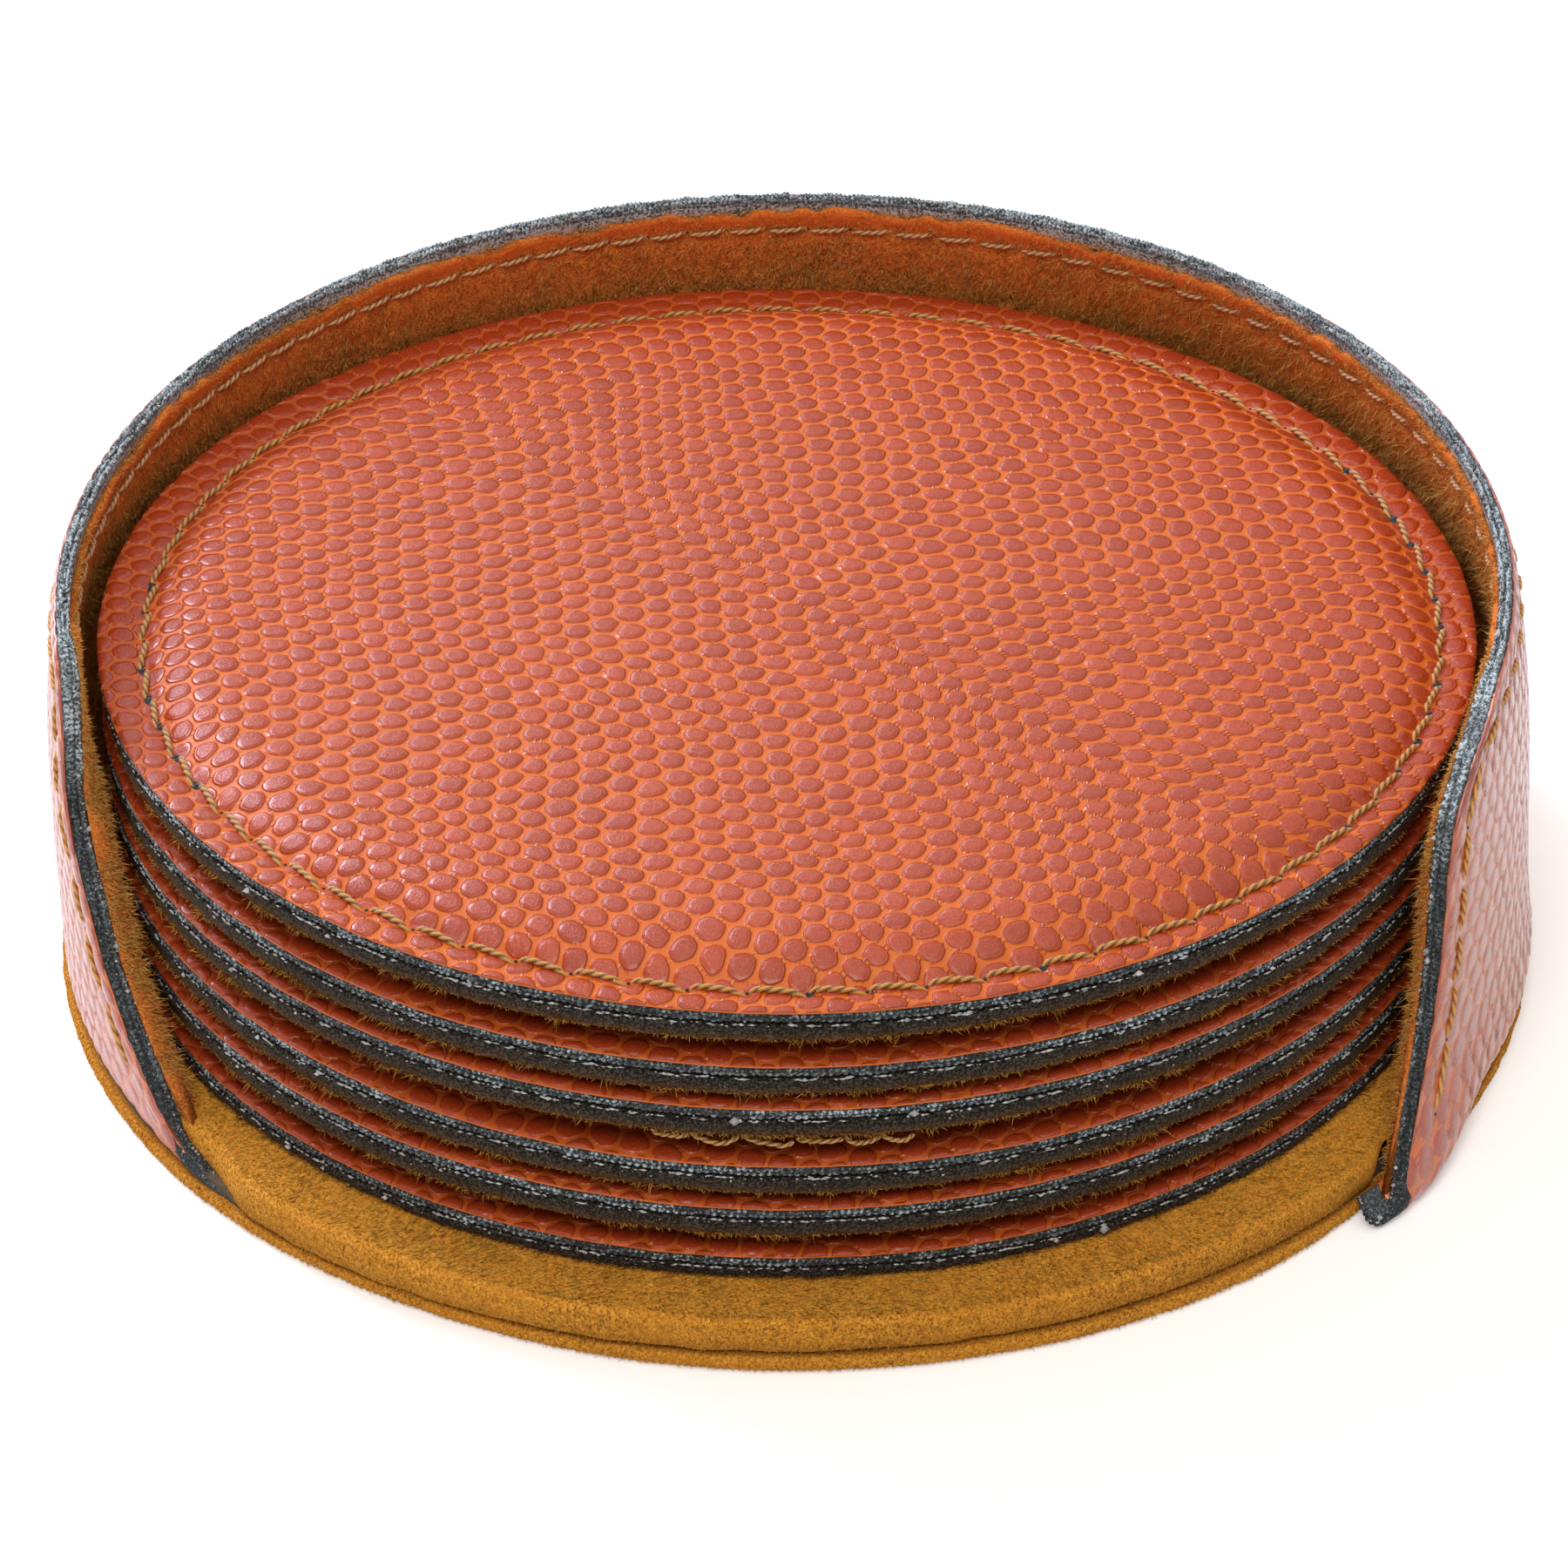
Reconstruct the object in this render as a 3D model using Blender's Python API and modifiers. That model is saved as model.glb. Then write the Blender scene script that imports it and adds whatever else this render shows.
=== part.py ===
"""Six round padded coasters stacked in an open-front holder, modelled piece by piece.

Metres, +Z up. The origin is at the centre of the holder's underside, and the opening faces -Y.
An azimuth is measured from the front (-Y) towards the right (+X).
"""

import math

import bmesh
import bpy

# Coaster sizes
COASTER_COUNT = 6
COASTER_DIAMETER = 0.0916
COASTER_SKIN = 0.0003
COASTER_KNIT = 0.00085
COASTER_PAD = 0.00155
COASTER_SUEDE = 0.00075
SEAM_INSET = 0.0026
SHOULDER_GAP = 0.0007
PAD_SETBACK = 0.0010
THREAD_DIAMETER = 0.00045

# Gaps between pieces that are glued, stacked or slid past each other
GLUE_LINE = 0.00005
REST_GAP = 0.0001
LIFT_CLEARANCE = 0.00025
STITCH_GAP = 0.00012
BASE_SEAT_GAP = 0.0003
HEM_CLEARANCE = 0.0003

# Holder wall, from the outside in
WALL_SKIN = 0.0003
WALL_KNIT = 0.0008
WALL_LINING = 0.0005
RIM_RISE = 0.0054
RIM_DIP = 0.0012
RIM_LEAN = 0.0023
SIDE_BIAS = 0.0004
END_FLARE = 0.0015
HEM_LENGTH = 0.0025
HEM_FOLD_CORE = 0.00035
TOPSTITCH_INSET = 0.0024
TOPSTITCH_FOOT = 0.0020

# Front ends of the wall: azimuths at the foot and where the end stands, in degrees
LEFT_FOOT_AZIMUTH = 46.0
LEFT_STAND_AZIMUTH = 68.5
LEFT_SWEEP = 0.0080
LEFT_SLANT = 1.0
RIGHT_FOOT_AZIMUTH = 50.5
RIGHT_STAND_AZIMUTH = 56.0
RIGHT_SWEEP = 0.0025
RIGHT_SLANT = 9.0
SLANT_DEPTH = 0.0120

# Holder base
UPPER_SUEDE = 0.00075
LOWER_SUEDE = 0.0007
LOWER_BOARD = 0.00075
UPPER_STEP = 0.00025
FRONT_GROOVE = 0.0004
SUEDE_EDGE_ROUND = 0.0006

# Shape of the padded crown and of the wall, as plain exponents, and of the base's easing, in degrees
CROWN_FLATNESS = 6.0
CROWN_ROUNDNESS = 1.6
LEAN_CURVE = 3.0
FLARE_CURVE = 6.0
ROW_CROWDING = 1.4
EASE_START = 0.8
EASE_SPAN = 3.0

# Facets
COASTER_SIDES = 36
CROWN_RINGS = 5
BACKING_RINGS = 2
WALL_COLUMNS = 32
FOLD_STEPS = 3
UPRIGHT_ROWS = 8
FRONT_STATIONS = 16
EASE_STATIONS = 3
LOWER_SIDES = 48
END_STITCH_POINTS = 8
SMOOTH_ANGLE = 40.0
MERGE_DISTANCE = 0.00001
SLOPE_STEP = 0.001

# Coaster heights, from its own underside
COASTER_RADIUS = COASTER_DIAMETER / 2
SEAM_RADIUS = COASTER_RADIUS - SEAM_INSET
SHOULDER_RADIUS = SEAM_RADIUS - SHOULDER_GAP
BACKING_LEVEL = COASTER_SUEDE + GLUE_LINE
KNIT_DROP = COASTER_SKIN + GLUE_LINE
PAD_DROP = KNIT_DROP + COASTER_KNIT + GLUE_LINE
MARGIN_LEVEL = BACKING_LEVEL + COASTER_KNIT + KNIT_DROP
CROWN_LEVEL = BACKING_LEVEL + COASTER_PAD + PAD_DROP
COASTER_PITCH = CROWN_LEVEL + REST_GAP

# Holder heights
LOWER_TOP = LOWER_SUEDE + GLUE_LINE + LOWER_BOARD
HEM_LEVEL = LOWER_TOP + GLUE_LINE
HEM_THICKNESS = WALL_SKIN + GLUE_LINE + WALL_KNIT
FOLD_RADIUS = HEM_THICKNESS + HEM_FOLD_CORE
FOOT_LEVEL = HEM_LEVEL + FOLD_RADIUS
UPPER_BOARD = HEM_THICKNESS + HEM_CLEARANCE
BASE_TOP = HEM_LEVEL + UPPER_BOARD + GLUE_LINE + UPPER_SUEDE
STACK_BOTTOM = BASE_TOP + REST_GAP
STACK_TOP = STACK_BOTTOM + COASTER_COUNT * COASTER_PITCH - REST_GAP
RIM_LEVEL = STACK_TOP + RIM_RISE
WALL_HEIGHT = RIM_LEVEL - FOOT_LEVEL

# Holder radii
LINING_DEPTH = HEM_THICKNESS + GLUE_LINE
WALL_THICKNESS = LINING_DEPTH + WALL_LINING
RIM_RADIUS = COASTER_RADIUS + LIFT_CLEARANCE + WALL_THICKNESS
LOWER_RADIUS = RIM_RADIUS + RIM_LEAN
UPPER_FRONT_RADIUS = LOWER_RADIUS - UPPER_STEP

LOOKS = {
    "leatherette": ((0.62, 0.10, 0.03), 0.42),
    "knit": ((0.012, 0.013, 0.015), 0.9),
    "coaster_suede": ((0.30, 0.13, 0.03), 0.95),
    "pad_foam": ((0.55, 0.50, 0.42), 0.9),
    "thread": ((0.42, 0.20, 0.06), 0.7),
    "lining_suede": ((0.33, 0.14, 0.03), 0.95),
    "base_suede": ((0.46, 0.22, 0.04), 0.95),
    "board": ((0.40, 0.34, 0.26), 0.85),
}


def clear_scene():
    for old in list(bpy.data.objects):
        bpy.data.objects.remove(old, do_unlink=True)


def make_materials():
    """One Principled material for each look."""
    made = {}
    for name, (colour, roughness) in LOOKS.items():
        material = bpy.data.materials.new(name)
        material.use_nodes = True
        shader = material.node_tree.nodes["Principled BSDF"]
        shader.inputs["Base Color"].default_value = (*colour, 1.0)
        shader.inputs["Roughness"].default_value = roughness
        shader.inputs["Metallic"].default_value = 0.0
        made[name] = material
    return made


def add_object(name, data, look, parent):
    """Puts a piece in the set's collection, under its body's empty."""
    obj = bpy.data.objects.new(name, data)
    data.materials.clear()
    data.materials.append(MATERIALS[look])
    COLLECTION.objects.link(obj)
    obj.parent = parent
    return obj


def add_empty(name, parent, height):
    empty = bpy.data.objects.new(name, None)
    empty.empty_display_size = COASTER_RADIUS / 4
    empty.location.z = height
    empty.parent = parent
    COLLECTION.objects.link(empty)
    return empty


def profile_mesh(name, points, closed=False):
    """A half section in the XZ plane, as edges for turning about Z."""
    count = len(points)
    edges = [(i, i + 1) for i in range(count - 1)]
    if closed:
        edges.append((count - 1, 0))
    mesh = bpy.data.meshes.new(name)
    mesh.from_pydata([(r, 0.0, z) for r, z in points], edges, [])
    return mesh


def turn(obj, sides):
    screw = obj.modifiers.new("Turn", "SCREW")
    screw.axis = "Z"
    screw.angle = math.tau
    screw.steps = sides
    screw.render_steps = sides
    screw.use_merge_vertices = True
    screw.merge_threshold = MERGE_DISTANCE
    screw.use_smooth_shade = True
    obj.modifiers.new("Even normals", "WEIGHTED_NORMAL")


def crown_height(radius):
    """Height of the leather face: a flat margin, then the padded crown inside the seam."""
    share = min(radius / SHOULDER_RADIUS, 1.0)
    swell = (1 - share**CROWN_FLATNESS) ** (1 / CROWN_ROUNDNESS)
    return MARGIN_LEVEL + (CROWN_LEVEL - MARGIN_LEVEL) * swell


def crown_radii(rings, limit):
    """Radii from the centre out to limit, closer together near the shoulder."""
    return [limit * math.sin(math.pi / 2 * i / rings) for i in range(rings + 1)]


def face_top():
    return [(r, crown_height(r)) for r in crown_radii(CROWN_RINGS, SHOULDER_RADIUS)]


def backing_curve(drop, limit):
    """The crown's curve on the hidden side of the face, lowered by drop."""
    return [(r, crown_height(r) - drop) for r in crown_radii(BACKING_RINGS, limit)]


def leather_face_profile():
    top = face_top() + [(COASTER_RADIUS, MARGIN_LEVEL)]
    under = backing_curve(COASTER_SKIN, SHOULDER_RADIUS)
    under.append((COASTER_RADIUS, MARGIN_LEVEL - COASTER_SKIN))
    return top + under[::-1]


def knit_profile():
    top = backing_curve(KNIT_DROP, SHOULDER_RADIUS)
    top.append((COASTER_RADIUS, MARGIN_LEVEL - KNIT_DROP))
    return top + [(r, z - COASTER_KNIT) for r, z in reversed(top)]


def pad_profile():
    edge = SHOULDER_RADIUS - PAD_SETBACK
    inner = crown_radii(BACKING_RINGS, SHOULDER_RADIUS)[:-1]
    rise = backing_curve(PAD_DROP, SHOULDER_RADIUS)
    share = (edge - inner[-1]) / (SHOULDER_RADIUS - inner[-1])
    edge_height = rise[-2][1] + (rise[-1][1] - rise[-2][1]) * share
    return rise[:-1] + [(edge, edge_height), (edge, BACKING_LEVEL), (0.0, BACKING_LEVEL)]


def disc_profile(radius, bottom, top):
    return [(0.0, top), (radius, top), (radius, bottom), (0.0, bottom)]


def seam_profile():
    half = THREAD_DIAMETER / 2
    level = MARGIN_LEVEL + GLUE_LINE + half
    return [
        (SEAM_RADIUS, level + half),
        (SEAM_RADIUS + half, level),
        (SEAM_RADIUS, level - half),
        (SEAM_RADIUS - half, level),
    ]


def coaster_layers():
    """Name, look and half section of each layer, shared by all the coasters."""
    underside = disc_profile(COASTER_RADIUS, 0.0, COASTER_SUEDE)
    return [
        ("leather_face", "leatherette", profile_mesh("coaster_leather_face", leather_face_profile())),
        ("knit_backing", "knit", profile_mesh("coaster_knit_backing", knit_profile())),
        ("pad", "pad_foam", profile_mesh("coaster_pad", pad_profile())),
        ("suede_underside", "coaster_suede", profile_mesh("coaster_suede_underside", underside)),
        ("seam_thread", "thread", profile_mesh("coaster_seam_thread", seam_profile(), closed=True)),
    ]


def make_coasters(holder):
    """Each coaster hangs from the one below it, because lifting one carries those above."""
    layers = coaster_layers()
    carrier = holder
    height = STACK_BOTTOM
    for number in range(1, COASTER_COUNT + 1):
        carrier = add_empty(f"coaster_{number}_axis", carrier, height)
        for layer, look, mesh in layers:
            turn(add_object(f"coaster_{number}_{layer}", mesh, look, carrier), COASTER_SIDES)
        height = COASTER_PITCH


def end_azimuth(height, foot, stand, sweep, slant):
    """Where one front end of the wall lies at this height, in degrees from the front."""
    settled = 1 - math.exp(-max(height - HEM_LEVEL, 0.0) / sweep)
    slanting = max(height - (RIM_LEVEL - SLANT_DEPTH), 0.0) / SLANT_DEPTH
    return foot + (stand - foot) * settled + slant * slanting**2


def left_end(height):
    return end_azimuth(height, LEFT_FOOT_AZIMUTH, LEFT_STAND_AZIMUTH, LEFT_SWEEP, LEFT_SLANT)


def right_end(height):
    return end_azimuth(height, RIGHT_FOOT_AZIMUTH, RIGHT_STAND_AZIMUTH, RIGHT_SWEEP, RIGHT_SLANT)


def half_span(along, height):
    """Degrees from the back to the end of the wall on the side that along names."""
    return 180.0 - (left_end(height) if along > 0 else right_end(height))


def wall_azimuth(along, height):
    """Azimuth in degrees: along is -1 at the right end, 0 at the back and 1 at the left end."""
    return 180.0 + along * half_span(along, height)


def wall_height(along, rise):
    """Height on the upright wall: rise is 0 at the foot and 1 at the rim, which dips to the ends."""
    return FOOT_LEVEL + (WALL_HEIGHT - RIM_DIP * along**2) * rise


def wall_radius(along, rise):
    """Outer radius of the upright wall, which leans in to the rim and flares at its free ends."""
    angle = math.radians(wall_azimuth(along, wall_height(along, rise)))
    lean = (RIM_LEAN + SIDE_BIAS * math.sin(angle)) * (1 - rise**LEAN_CURVE)
    return RIM_RADIUS + lean + END_FLARE * abs(along) ** FLARE_CURVE * rise


def upright_row(along, rise):
    """Radius, height and outward normal at a point of the upright wall."""
    below = max(rise - SLOPE_STEP, 0.0)
    above = min(rise + SLOPE_STEP, 1.0)
    climb = wall_height(along, above) - wall_height(along, below)
    slope = (wall_radius(along, above) - wall_radius(along, below)) / climb
    length = math.hypot(1.0, slope)
    return wall_radius(along, rise), wall_height(along, rise), 1.0 / length, -slope / length


def hem_row(along, turned):
    """The same on the fold of the hem: turned is 0 where it lies flat and 1 at the foot."""
    angle = math.pi / 2 * turned
    out, down = math.sin(angle), math.cos(angle)
    radius = wall_radius(along, 0.0) - FOLD_RADIUS * (1 - out)
    return radius, FOOT_LEVEL - FOLD_RADIUS * down, out, -down


def wall_rows(along, folded):
    """Rows from the foot up, closer together low down, after the hem where the layer has one."""
    rows = []
    if folded:
        radius, height, out, up = hem_row(along, 0.0)
        rows.append((radius - HEM_LENGTH, height, out, up))
        rows += [hem_row(along, i / FOLD_STEPS) for i in range(FOLD_STEPS)]
    for i in range(UPRIGHT_ROWS + 1):
        rows.append(upright_row(along, (i / UPRIGHT_ROWS) ** ROW_CROWDING))
    return rows


def on_wall(along, row, depth):
    """A point this deep under the wall's outer face."""
    radius, height, out, up = row
    reach = radius - depth * out
    angle = math.radians(wall_azimuth(along, height))
    return reach * math.sin(angle), -reach * math.cos(angle), height - depth * up


def wall_sheet(name, look, folded, depth, thickness, parent):
    """One layer of the wall: a flat grid made two-sided, then bent round the holder."""
    last_row = len(wall_rows(0.0, folded)) - 1
    sheet = bmesh.new()
    bmesh.ops.create_grid(sheet, x_segments=WALL_COLUMNS, y_segments=last_row, size=1.0)
    # The layers nest because each is split along the same diagonals
    bmesh.ops.triangulate(sheet, faces=sheet.faces, quad_method="FIXED")
    doubled = bmesh.ops.extrude_face_region(sheet, geom=sheet.faces[:], use_keep_orig=True)
    inner = {item for item in doubled["geom"] if isinstance(item, bmesh.types.BMVert)}
    for vert in sheet.verts:
        along = -vert.co.x
        row = wall_rows(along, folded)[round((vert.co.y + 1) / 2 * last_row)]
        vert.co = on_wall(along, row, depth + thickness if vert in inner else depth)
    bmesh.ops.recalc_face_normals(sheet, faces=sheet.faces)
    if sheet.calc_volume(signed=True) < 0:
        bmesh.ops.reverse_faces(sheet, faces=sheet.faces)
    mesh = bpy.data.meshes.new(name)
    sheet.to_mesh(mesh)
    sheet.free()
    mesh.shade_smooth()
    mesh.set_sharp_from_angle(angle=math.radians(SMOOTH_ANGLE))
    return add_object(name, mesh, look, parent)


def topstitch_route():
    """Places of the stitch line: up one end, round under the rim, down the other."""
    low = (BASE_TOP + TOPSTITCH_FOOT - FOOT_LEVEL) / WALL_HEIGHT
    high = 1 - TOPSTITCH_INSET / WALL_HEIGHT
    climb = [low + (high - low) * i / END_STITCH_POINTS for i in range(END_STITCH_POINTS)]
    inset = math.degrees(TOPSTITCH_INSET / RIM_RADIUS)
    right = inset / half_span(-1.0, RIM_LEVEL) - 1
    left = 1 - inset / half_span(1.0, RIM_LEVEL)
    rim = [(right + (left - right) * i / WALL_COLUMNS, high) for i in range(WALL_COLUMNS + 1)]
    return [(right, rise) for rise in climb] + rim + [(left, rise) for rise in reversed(climb)]


def topstitch(name, depth, parent):
    """A thread along the stitch line, with its middle this deep under the wall's outer face."""
    route = topstitch_route()
    curve = bpy.data.curves.new(name, "CURVE")
    curve.dimensions = "3D"
    curve.bevel_depth = THREAD_DIAMETER / 2
    curve.bevel_resolution = 0
    curve.use_fill_caps = True
    spline = curve.splines.new("POLY")
    spline.points.add(len(route) - 1)
    for point, (along, rise) in zip(spline.points, route):
        point.co = (*on_wall(along, upright_row(along, rise), depth), 1.0)
    return add_object(name, curve, "thread", parent)


def front_share(azimuth):
    """1 across the open front, easing to 0 just before each foot of the wall."""
    foot = RIGHT_FOOT_AZIMUTH if azimuth >= 0 else LEFT_FOOT_AZIMUTH
    share = (foot - EASE_START - abs(azimuth)) / EASE_SPAN
    share = min(max(share, 0.0), 1.0)
    return share * share * (3 - 2 * share)


def blend(at_wall, at_front, azimuth):
    return at_wall + (at_front - at_wall) * front_share(azimuth)


def spread(first, last, count):
    """Count values from first, evenly spaced, that stop one step before last."""
    return [first + (last - first) * i / count for i in range(count)]


def base_azimuths():
    """Stations round the base, closer together where the front eases into the wall."""
    right_wall = RIGHT_FOOT_AZIMUTH - EASE_START
    left_wall = LEFT_FOOT_AZIMUTH - EASE_START
    right_front = right_wall - EASE_SPAN
    left_front = left_wall - EASE_SPAN
    stations = spread(-left_front, right_front, FRONT_STATIONS)
    stations += spread(right_front, right_wall, EASE_STATIONS)
    stations += spread(right_wall, 360.0 - left_wall, WALL_COLUMNS)
    stations += spread(360.0 - left_wall, 360.0 - left_front, EASE_STATIONS)
    return [station if station <= 180.0 else station - 360.0 for station in stations]


def foot_radius(azimuth):
    """Outer radius of the wall's foot at an azimuth, kept level across the open front."""
    from_back = azimuth % 360.0 - 180.0
    along = from_back / half_span(from_back, FOOT_LEVEL)
    return wall_radius(min(max(along, -1.0), 1.0), 0.0)


def upper_board(parent):
    """The board that the hem is turned in under, reaching further out at the open front."""
    at_front = UPPER_FRONT_RADIUS - UPPER_SUEDE - GLUE_LINE
    hem_reach = FOLD_RADIUS + HEM_LENGTH + BASE_SEAT_GAP
    stations = base_azimuths()
    name = "holder_base_upper_board"
    curve = bpy.data.curves.new(name, "CURVE")
    curve.dimensions = "2D"
    curve.fill_mode = "BOTH"
    curve.extrude = UPPER_BOARD / 2
    spline = curve.splines.new("POLY")
    spline.points.add(len(stations) - 1)
    for point, azimuth in zip(spline.points, stations):
        radius = blend(foot_radius(azimuth) - hem_reach, at_front, azimuth)
        angle = math.radians(azimuth)
        point.co = (radius * math.sin(angle), -radius * math.cos(angle), 0.0, 1.0)
    spline.use_cyclic_u = True
    board = add_object(name, curve, "board", parent)
    board.location.z = HEM_LEVEL + UPPER_BOARD / 2
    return board


def upper_suede_section(azimuth):
    """Half section of the upper suede: a disc whose edge is wrapped down over the front of the board."""
    at_wall = foot_radius(azimuth) - WALL_THICKNESS - BASE_SEAT_GAP
    radius = blend(at_wall, UPPER_FRONT_RADIUS, azimuth)
    under = BASE_TOP - UPPER_SUEDE
    lip = blend(under - GLUE_LINE / 2, LOWER_TOP + FRONT_GROOVE, azimuth)
    inner = radius - UPPER_SUEDE
    corner = SUEDE_EDGE_ROUND * (1 - math.sqrt(0.5))
    return [
        (radius - SUEDE_EDGE_ROUND, BASE_TOP),
        (radius - corner, BASE_TOP - corner),
        (radius, BASE_TOP - SUEDE_EDGE_ROUND),
        (radius, lip),
        (inner, lip),
        (inner, under),
    ]


def upper_suede(parent):
    """A loft, because its edge differs between the open front and the wall."""
    name = "holder_base_upper_suede"
    solid = bmesh.new()
    top = solid.verts.new((0.0, 0.0, BASE_TOP))
    bottom = solid.verts.new((0.0, 0.0, BASE_TOP - UPPER_SUEDE))
    strips = []
    for azimuth in base_azimuths():
        angle = math.radians(azimuth)
        section = upper_suede_section(azimuth)
        strips.append([solid.verts.new((r * math.sin(angle), -r * math.cos(angle), z)) for r, z in section])
    for here, there in zip(strips, strips[1:] + strips[:1]):
        solid.faces.new((top, here[0], there[0]))
        solid.faces.new((bottom, there[-1], here[-1]))
        for i in range(len(here) - 1):
            solid.faces.new((here[i], here[i + 1], there[i + 1], there[i]))
    mesh = bpy.data.meshes.new(name)
    solid.to_mesh(mesh)
    solid.free()
    mesh.shade_smooth()
    mesh.set_sharp_from_angle(angle=math.radians(SMOOTH_ANGLE))
    return add_object(name, mesh, "base_suede", parent)


def lower_suede_profile():
    """A shallow cup of suede wrapped round the lower board."""
    inner = LOWER_RADIUS - LOWER_SUEDE
    corner = LOWER_SUEDE / 3
    return [
        (0.0, LOWER_SUEDE),
        (inner, LOWER_SUEDE),
        (inner, LOWER_TOP),
        (LOWER_RADIUS - corner, LOWER_TOP),
        (LOWER_RADIUS, LOWER_TOP - corner),
        (LOWER_RADIUS, corner),
        (LOWER_RADIUS - corner, 0.0),
        (0.0, 0.0),
    ]


def make_base(parent):
    upper_board(parent)
    upper_suede(parent)
    board_radius = LOWER_RADIUS - LOWER_SUEDE - GLUE_LINE
    board = disc_profile(board_radius, LOWER_SUEDE + GLUE_LINE, LOWER_TOP)
    for name, look, profile in (
        ("holder_base_lower_board", "board", board),
        ("holder_base_lower_suede", "base_suede", lower_suede_profile()),
    ):
        turn(add_object(name, profile_mesh(name, profile), look, parent), LOWER_SIDES)


def make_wall(parent):
    knit_depth = WALL_SKIN + GLUE_LINE
    wall_sheet("holder_wall_leather_face", "leatherette", True, 0.0, WALL_SKIN, parent)
    wall_sheet("holder_wall_knit_backing", "knit", True, knit_depth, WALL_KNIT, parent)
    lining = wall_sheet("holder_wall_suede_lining", "lining_suede", False, LINING_DEPTH, WALL_LINING, parent)
    stand_off = THREAD_DIAMETER / 2 + STITCH_GAP
    topstitch("holder_wall_outer_topstitch", -stand_off, parent)
    inner = topstitch("holder_wall_inner_topstitch", WALL_THICKNESS + stand_off, parent)
    sewn = inner.modifiers.new("Against the lining", "SHRINKWRAP")
    sewn.target = lining
    sewn.wrap_method = "NEAREST_SURFACEPOINT"
    sewn.wrap_mode = "ABOVE_SURFACE"
    sewn.offset = stand_off
    sewn.use_apply_on_spline = True


clear_scene()
COLLECTION = bpy.data.collections.new("coaster_set_with_holder")
bpy.context.scene.collection.children.link(COLLECTION)
MATERIALS = make_materials()
HOLDER = add_empty("holder_axis", None, 0.0)
make_base(HOLDER)
make_wall(HOLDER)
make_coasters(HOLDER)
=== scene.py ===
"""The dressed coaster set: pebbled leatherette, cut knit edges, napped suede and sewn thread.

Shapes are worked out in millimetres, in the frame's axes, and turned to metres when a mesh is made.
Azimuths are in degrees and run from the open front (-Y) towards the right (+X).
"""

import math

import bpy
import numpy as np
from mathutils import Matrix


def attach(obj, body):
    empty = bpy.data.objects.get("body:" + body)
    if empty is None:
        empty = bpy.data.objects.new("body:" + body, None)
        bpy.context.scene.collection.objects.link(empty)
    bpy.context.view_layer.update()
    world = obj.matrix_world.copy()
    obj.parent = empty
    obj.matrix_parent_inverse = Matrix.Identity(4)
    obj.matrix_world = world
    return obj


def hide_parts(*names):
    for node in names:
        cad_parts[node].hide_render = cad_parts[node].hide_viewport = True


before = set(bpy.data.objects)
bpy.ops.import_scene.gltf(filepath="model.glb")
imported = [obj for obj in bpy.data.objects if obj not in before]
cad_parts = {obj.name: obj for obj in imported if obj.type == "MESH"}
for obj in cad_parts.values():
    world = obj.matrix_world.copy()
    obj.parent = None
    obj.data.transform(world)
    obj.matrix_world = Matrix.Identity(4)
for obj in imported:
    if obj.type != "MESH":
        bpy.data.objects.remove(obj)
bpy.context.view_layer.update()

MM = 0.001

# Coasters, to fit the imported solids
COASTERS = 6
COASTER_R = 45.8
STACK_Z = 3.9
PITCH_Z = 3.7
SUEDE_TOP = 0.78
KNIT_TOP = 1.70
MARGIN_Z = 2.0
CROWN_Z = 3.58
SEAM_R = 43.1
STITCHES = 75
THREAD_R = 0.22

# Holder wall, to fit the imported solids; HALF_ARC is from the middle of its back to an end
RIM_R = 47.75
RIM_Z = 31.4
RIM_DIP = 1.2
LEAN = 2.3
SIDE_BIAS = 0.4
FLARE = 1.5
HEM_Z = 1.55
FOLD_R = 1.5
FOOT_Z = HEM_Z + FOLD_R
WALL_H = RIM_Z - FOOT_Z
FOLD_ARC = FOLD_R * math.pi / 2
HEM_FLAT = 2.0
HALF_ARC = 108.0
SKIN = 0.30
LINING_AT = 1.15
WALL_T = 1.70
CORNER_R = 2.5
STITCH_INSET = 2.4
STITCH_LENGTH = 3.6
WALL_THREAD_R = 0.19
# Radii that turn azimuths into mm along the wall's two faces
LEATHER_ARC_R = 49.0
LINING_ARC_R = 47.0

# Cut ends of the wall: mm up from the foot (the turned hem is below 0), azimuths of the left and right end
END_TABLE = (
    (-6.0, 45.0, 46.4), (-3.6, 45.0, 45.8), (-2.4, 45.8, 46.1), (-1.2, 49.2, 47.6), (0.0, 52.4, 48.7),
    (2.0, 55.3, 51.0), (3.5, 56.9, 52.8), (5.5, 59.4, 54.0), (8.5, 62.4, 54.7), (11.0, 63.9, 55.0),
    (13.5, 65.6, 55.3), (16.0, 68.2, 55.5), (18.5, 69.4, 55.7), (22.0, 69.8, 57.0), (24.2, 70.4, 59.8),
    (26.5, 72.2, 65.1), (28.4, 74.0, 69.0),
)

# How the soft wall leaves its plain form: the hook at its right foot, its sag, and its sides' bulges
HOOK_R = 1.0
HOOK_TURN = 0.85
HOOK_SAG = 1.42
HOOK_KICK = 1.8
HOOK_EXTRA = 0.45
FOLD_TIGHT = 0.65
LEFT_SAG = 0.75
RIGHT_IN = 0.40
LEFT_IN = 0.25
RIGHT_OUT = 0.75
RIGHT_WAIST = 1.8
RIM_TILT = 0.42
PLY_SWELL = 0.35
LEFT_FLARE = 1.15
RIGHT_FLARE = 0.45

# Holder base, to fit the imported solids
BASE_TOP = 3.8
LOWER_R = 50.05

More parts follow.
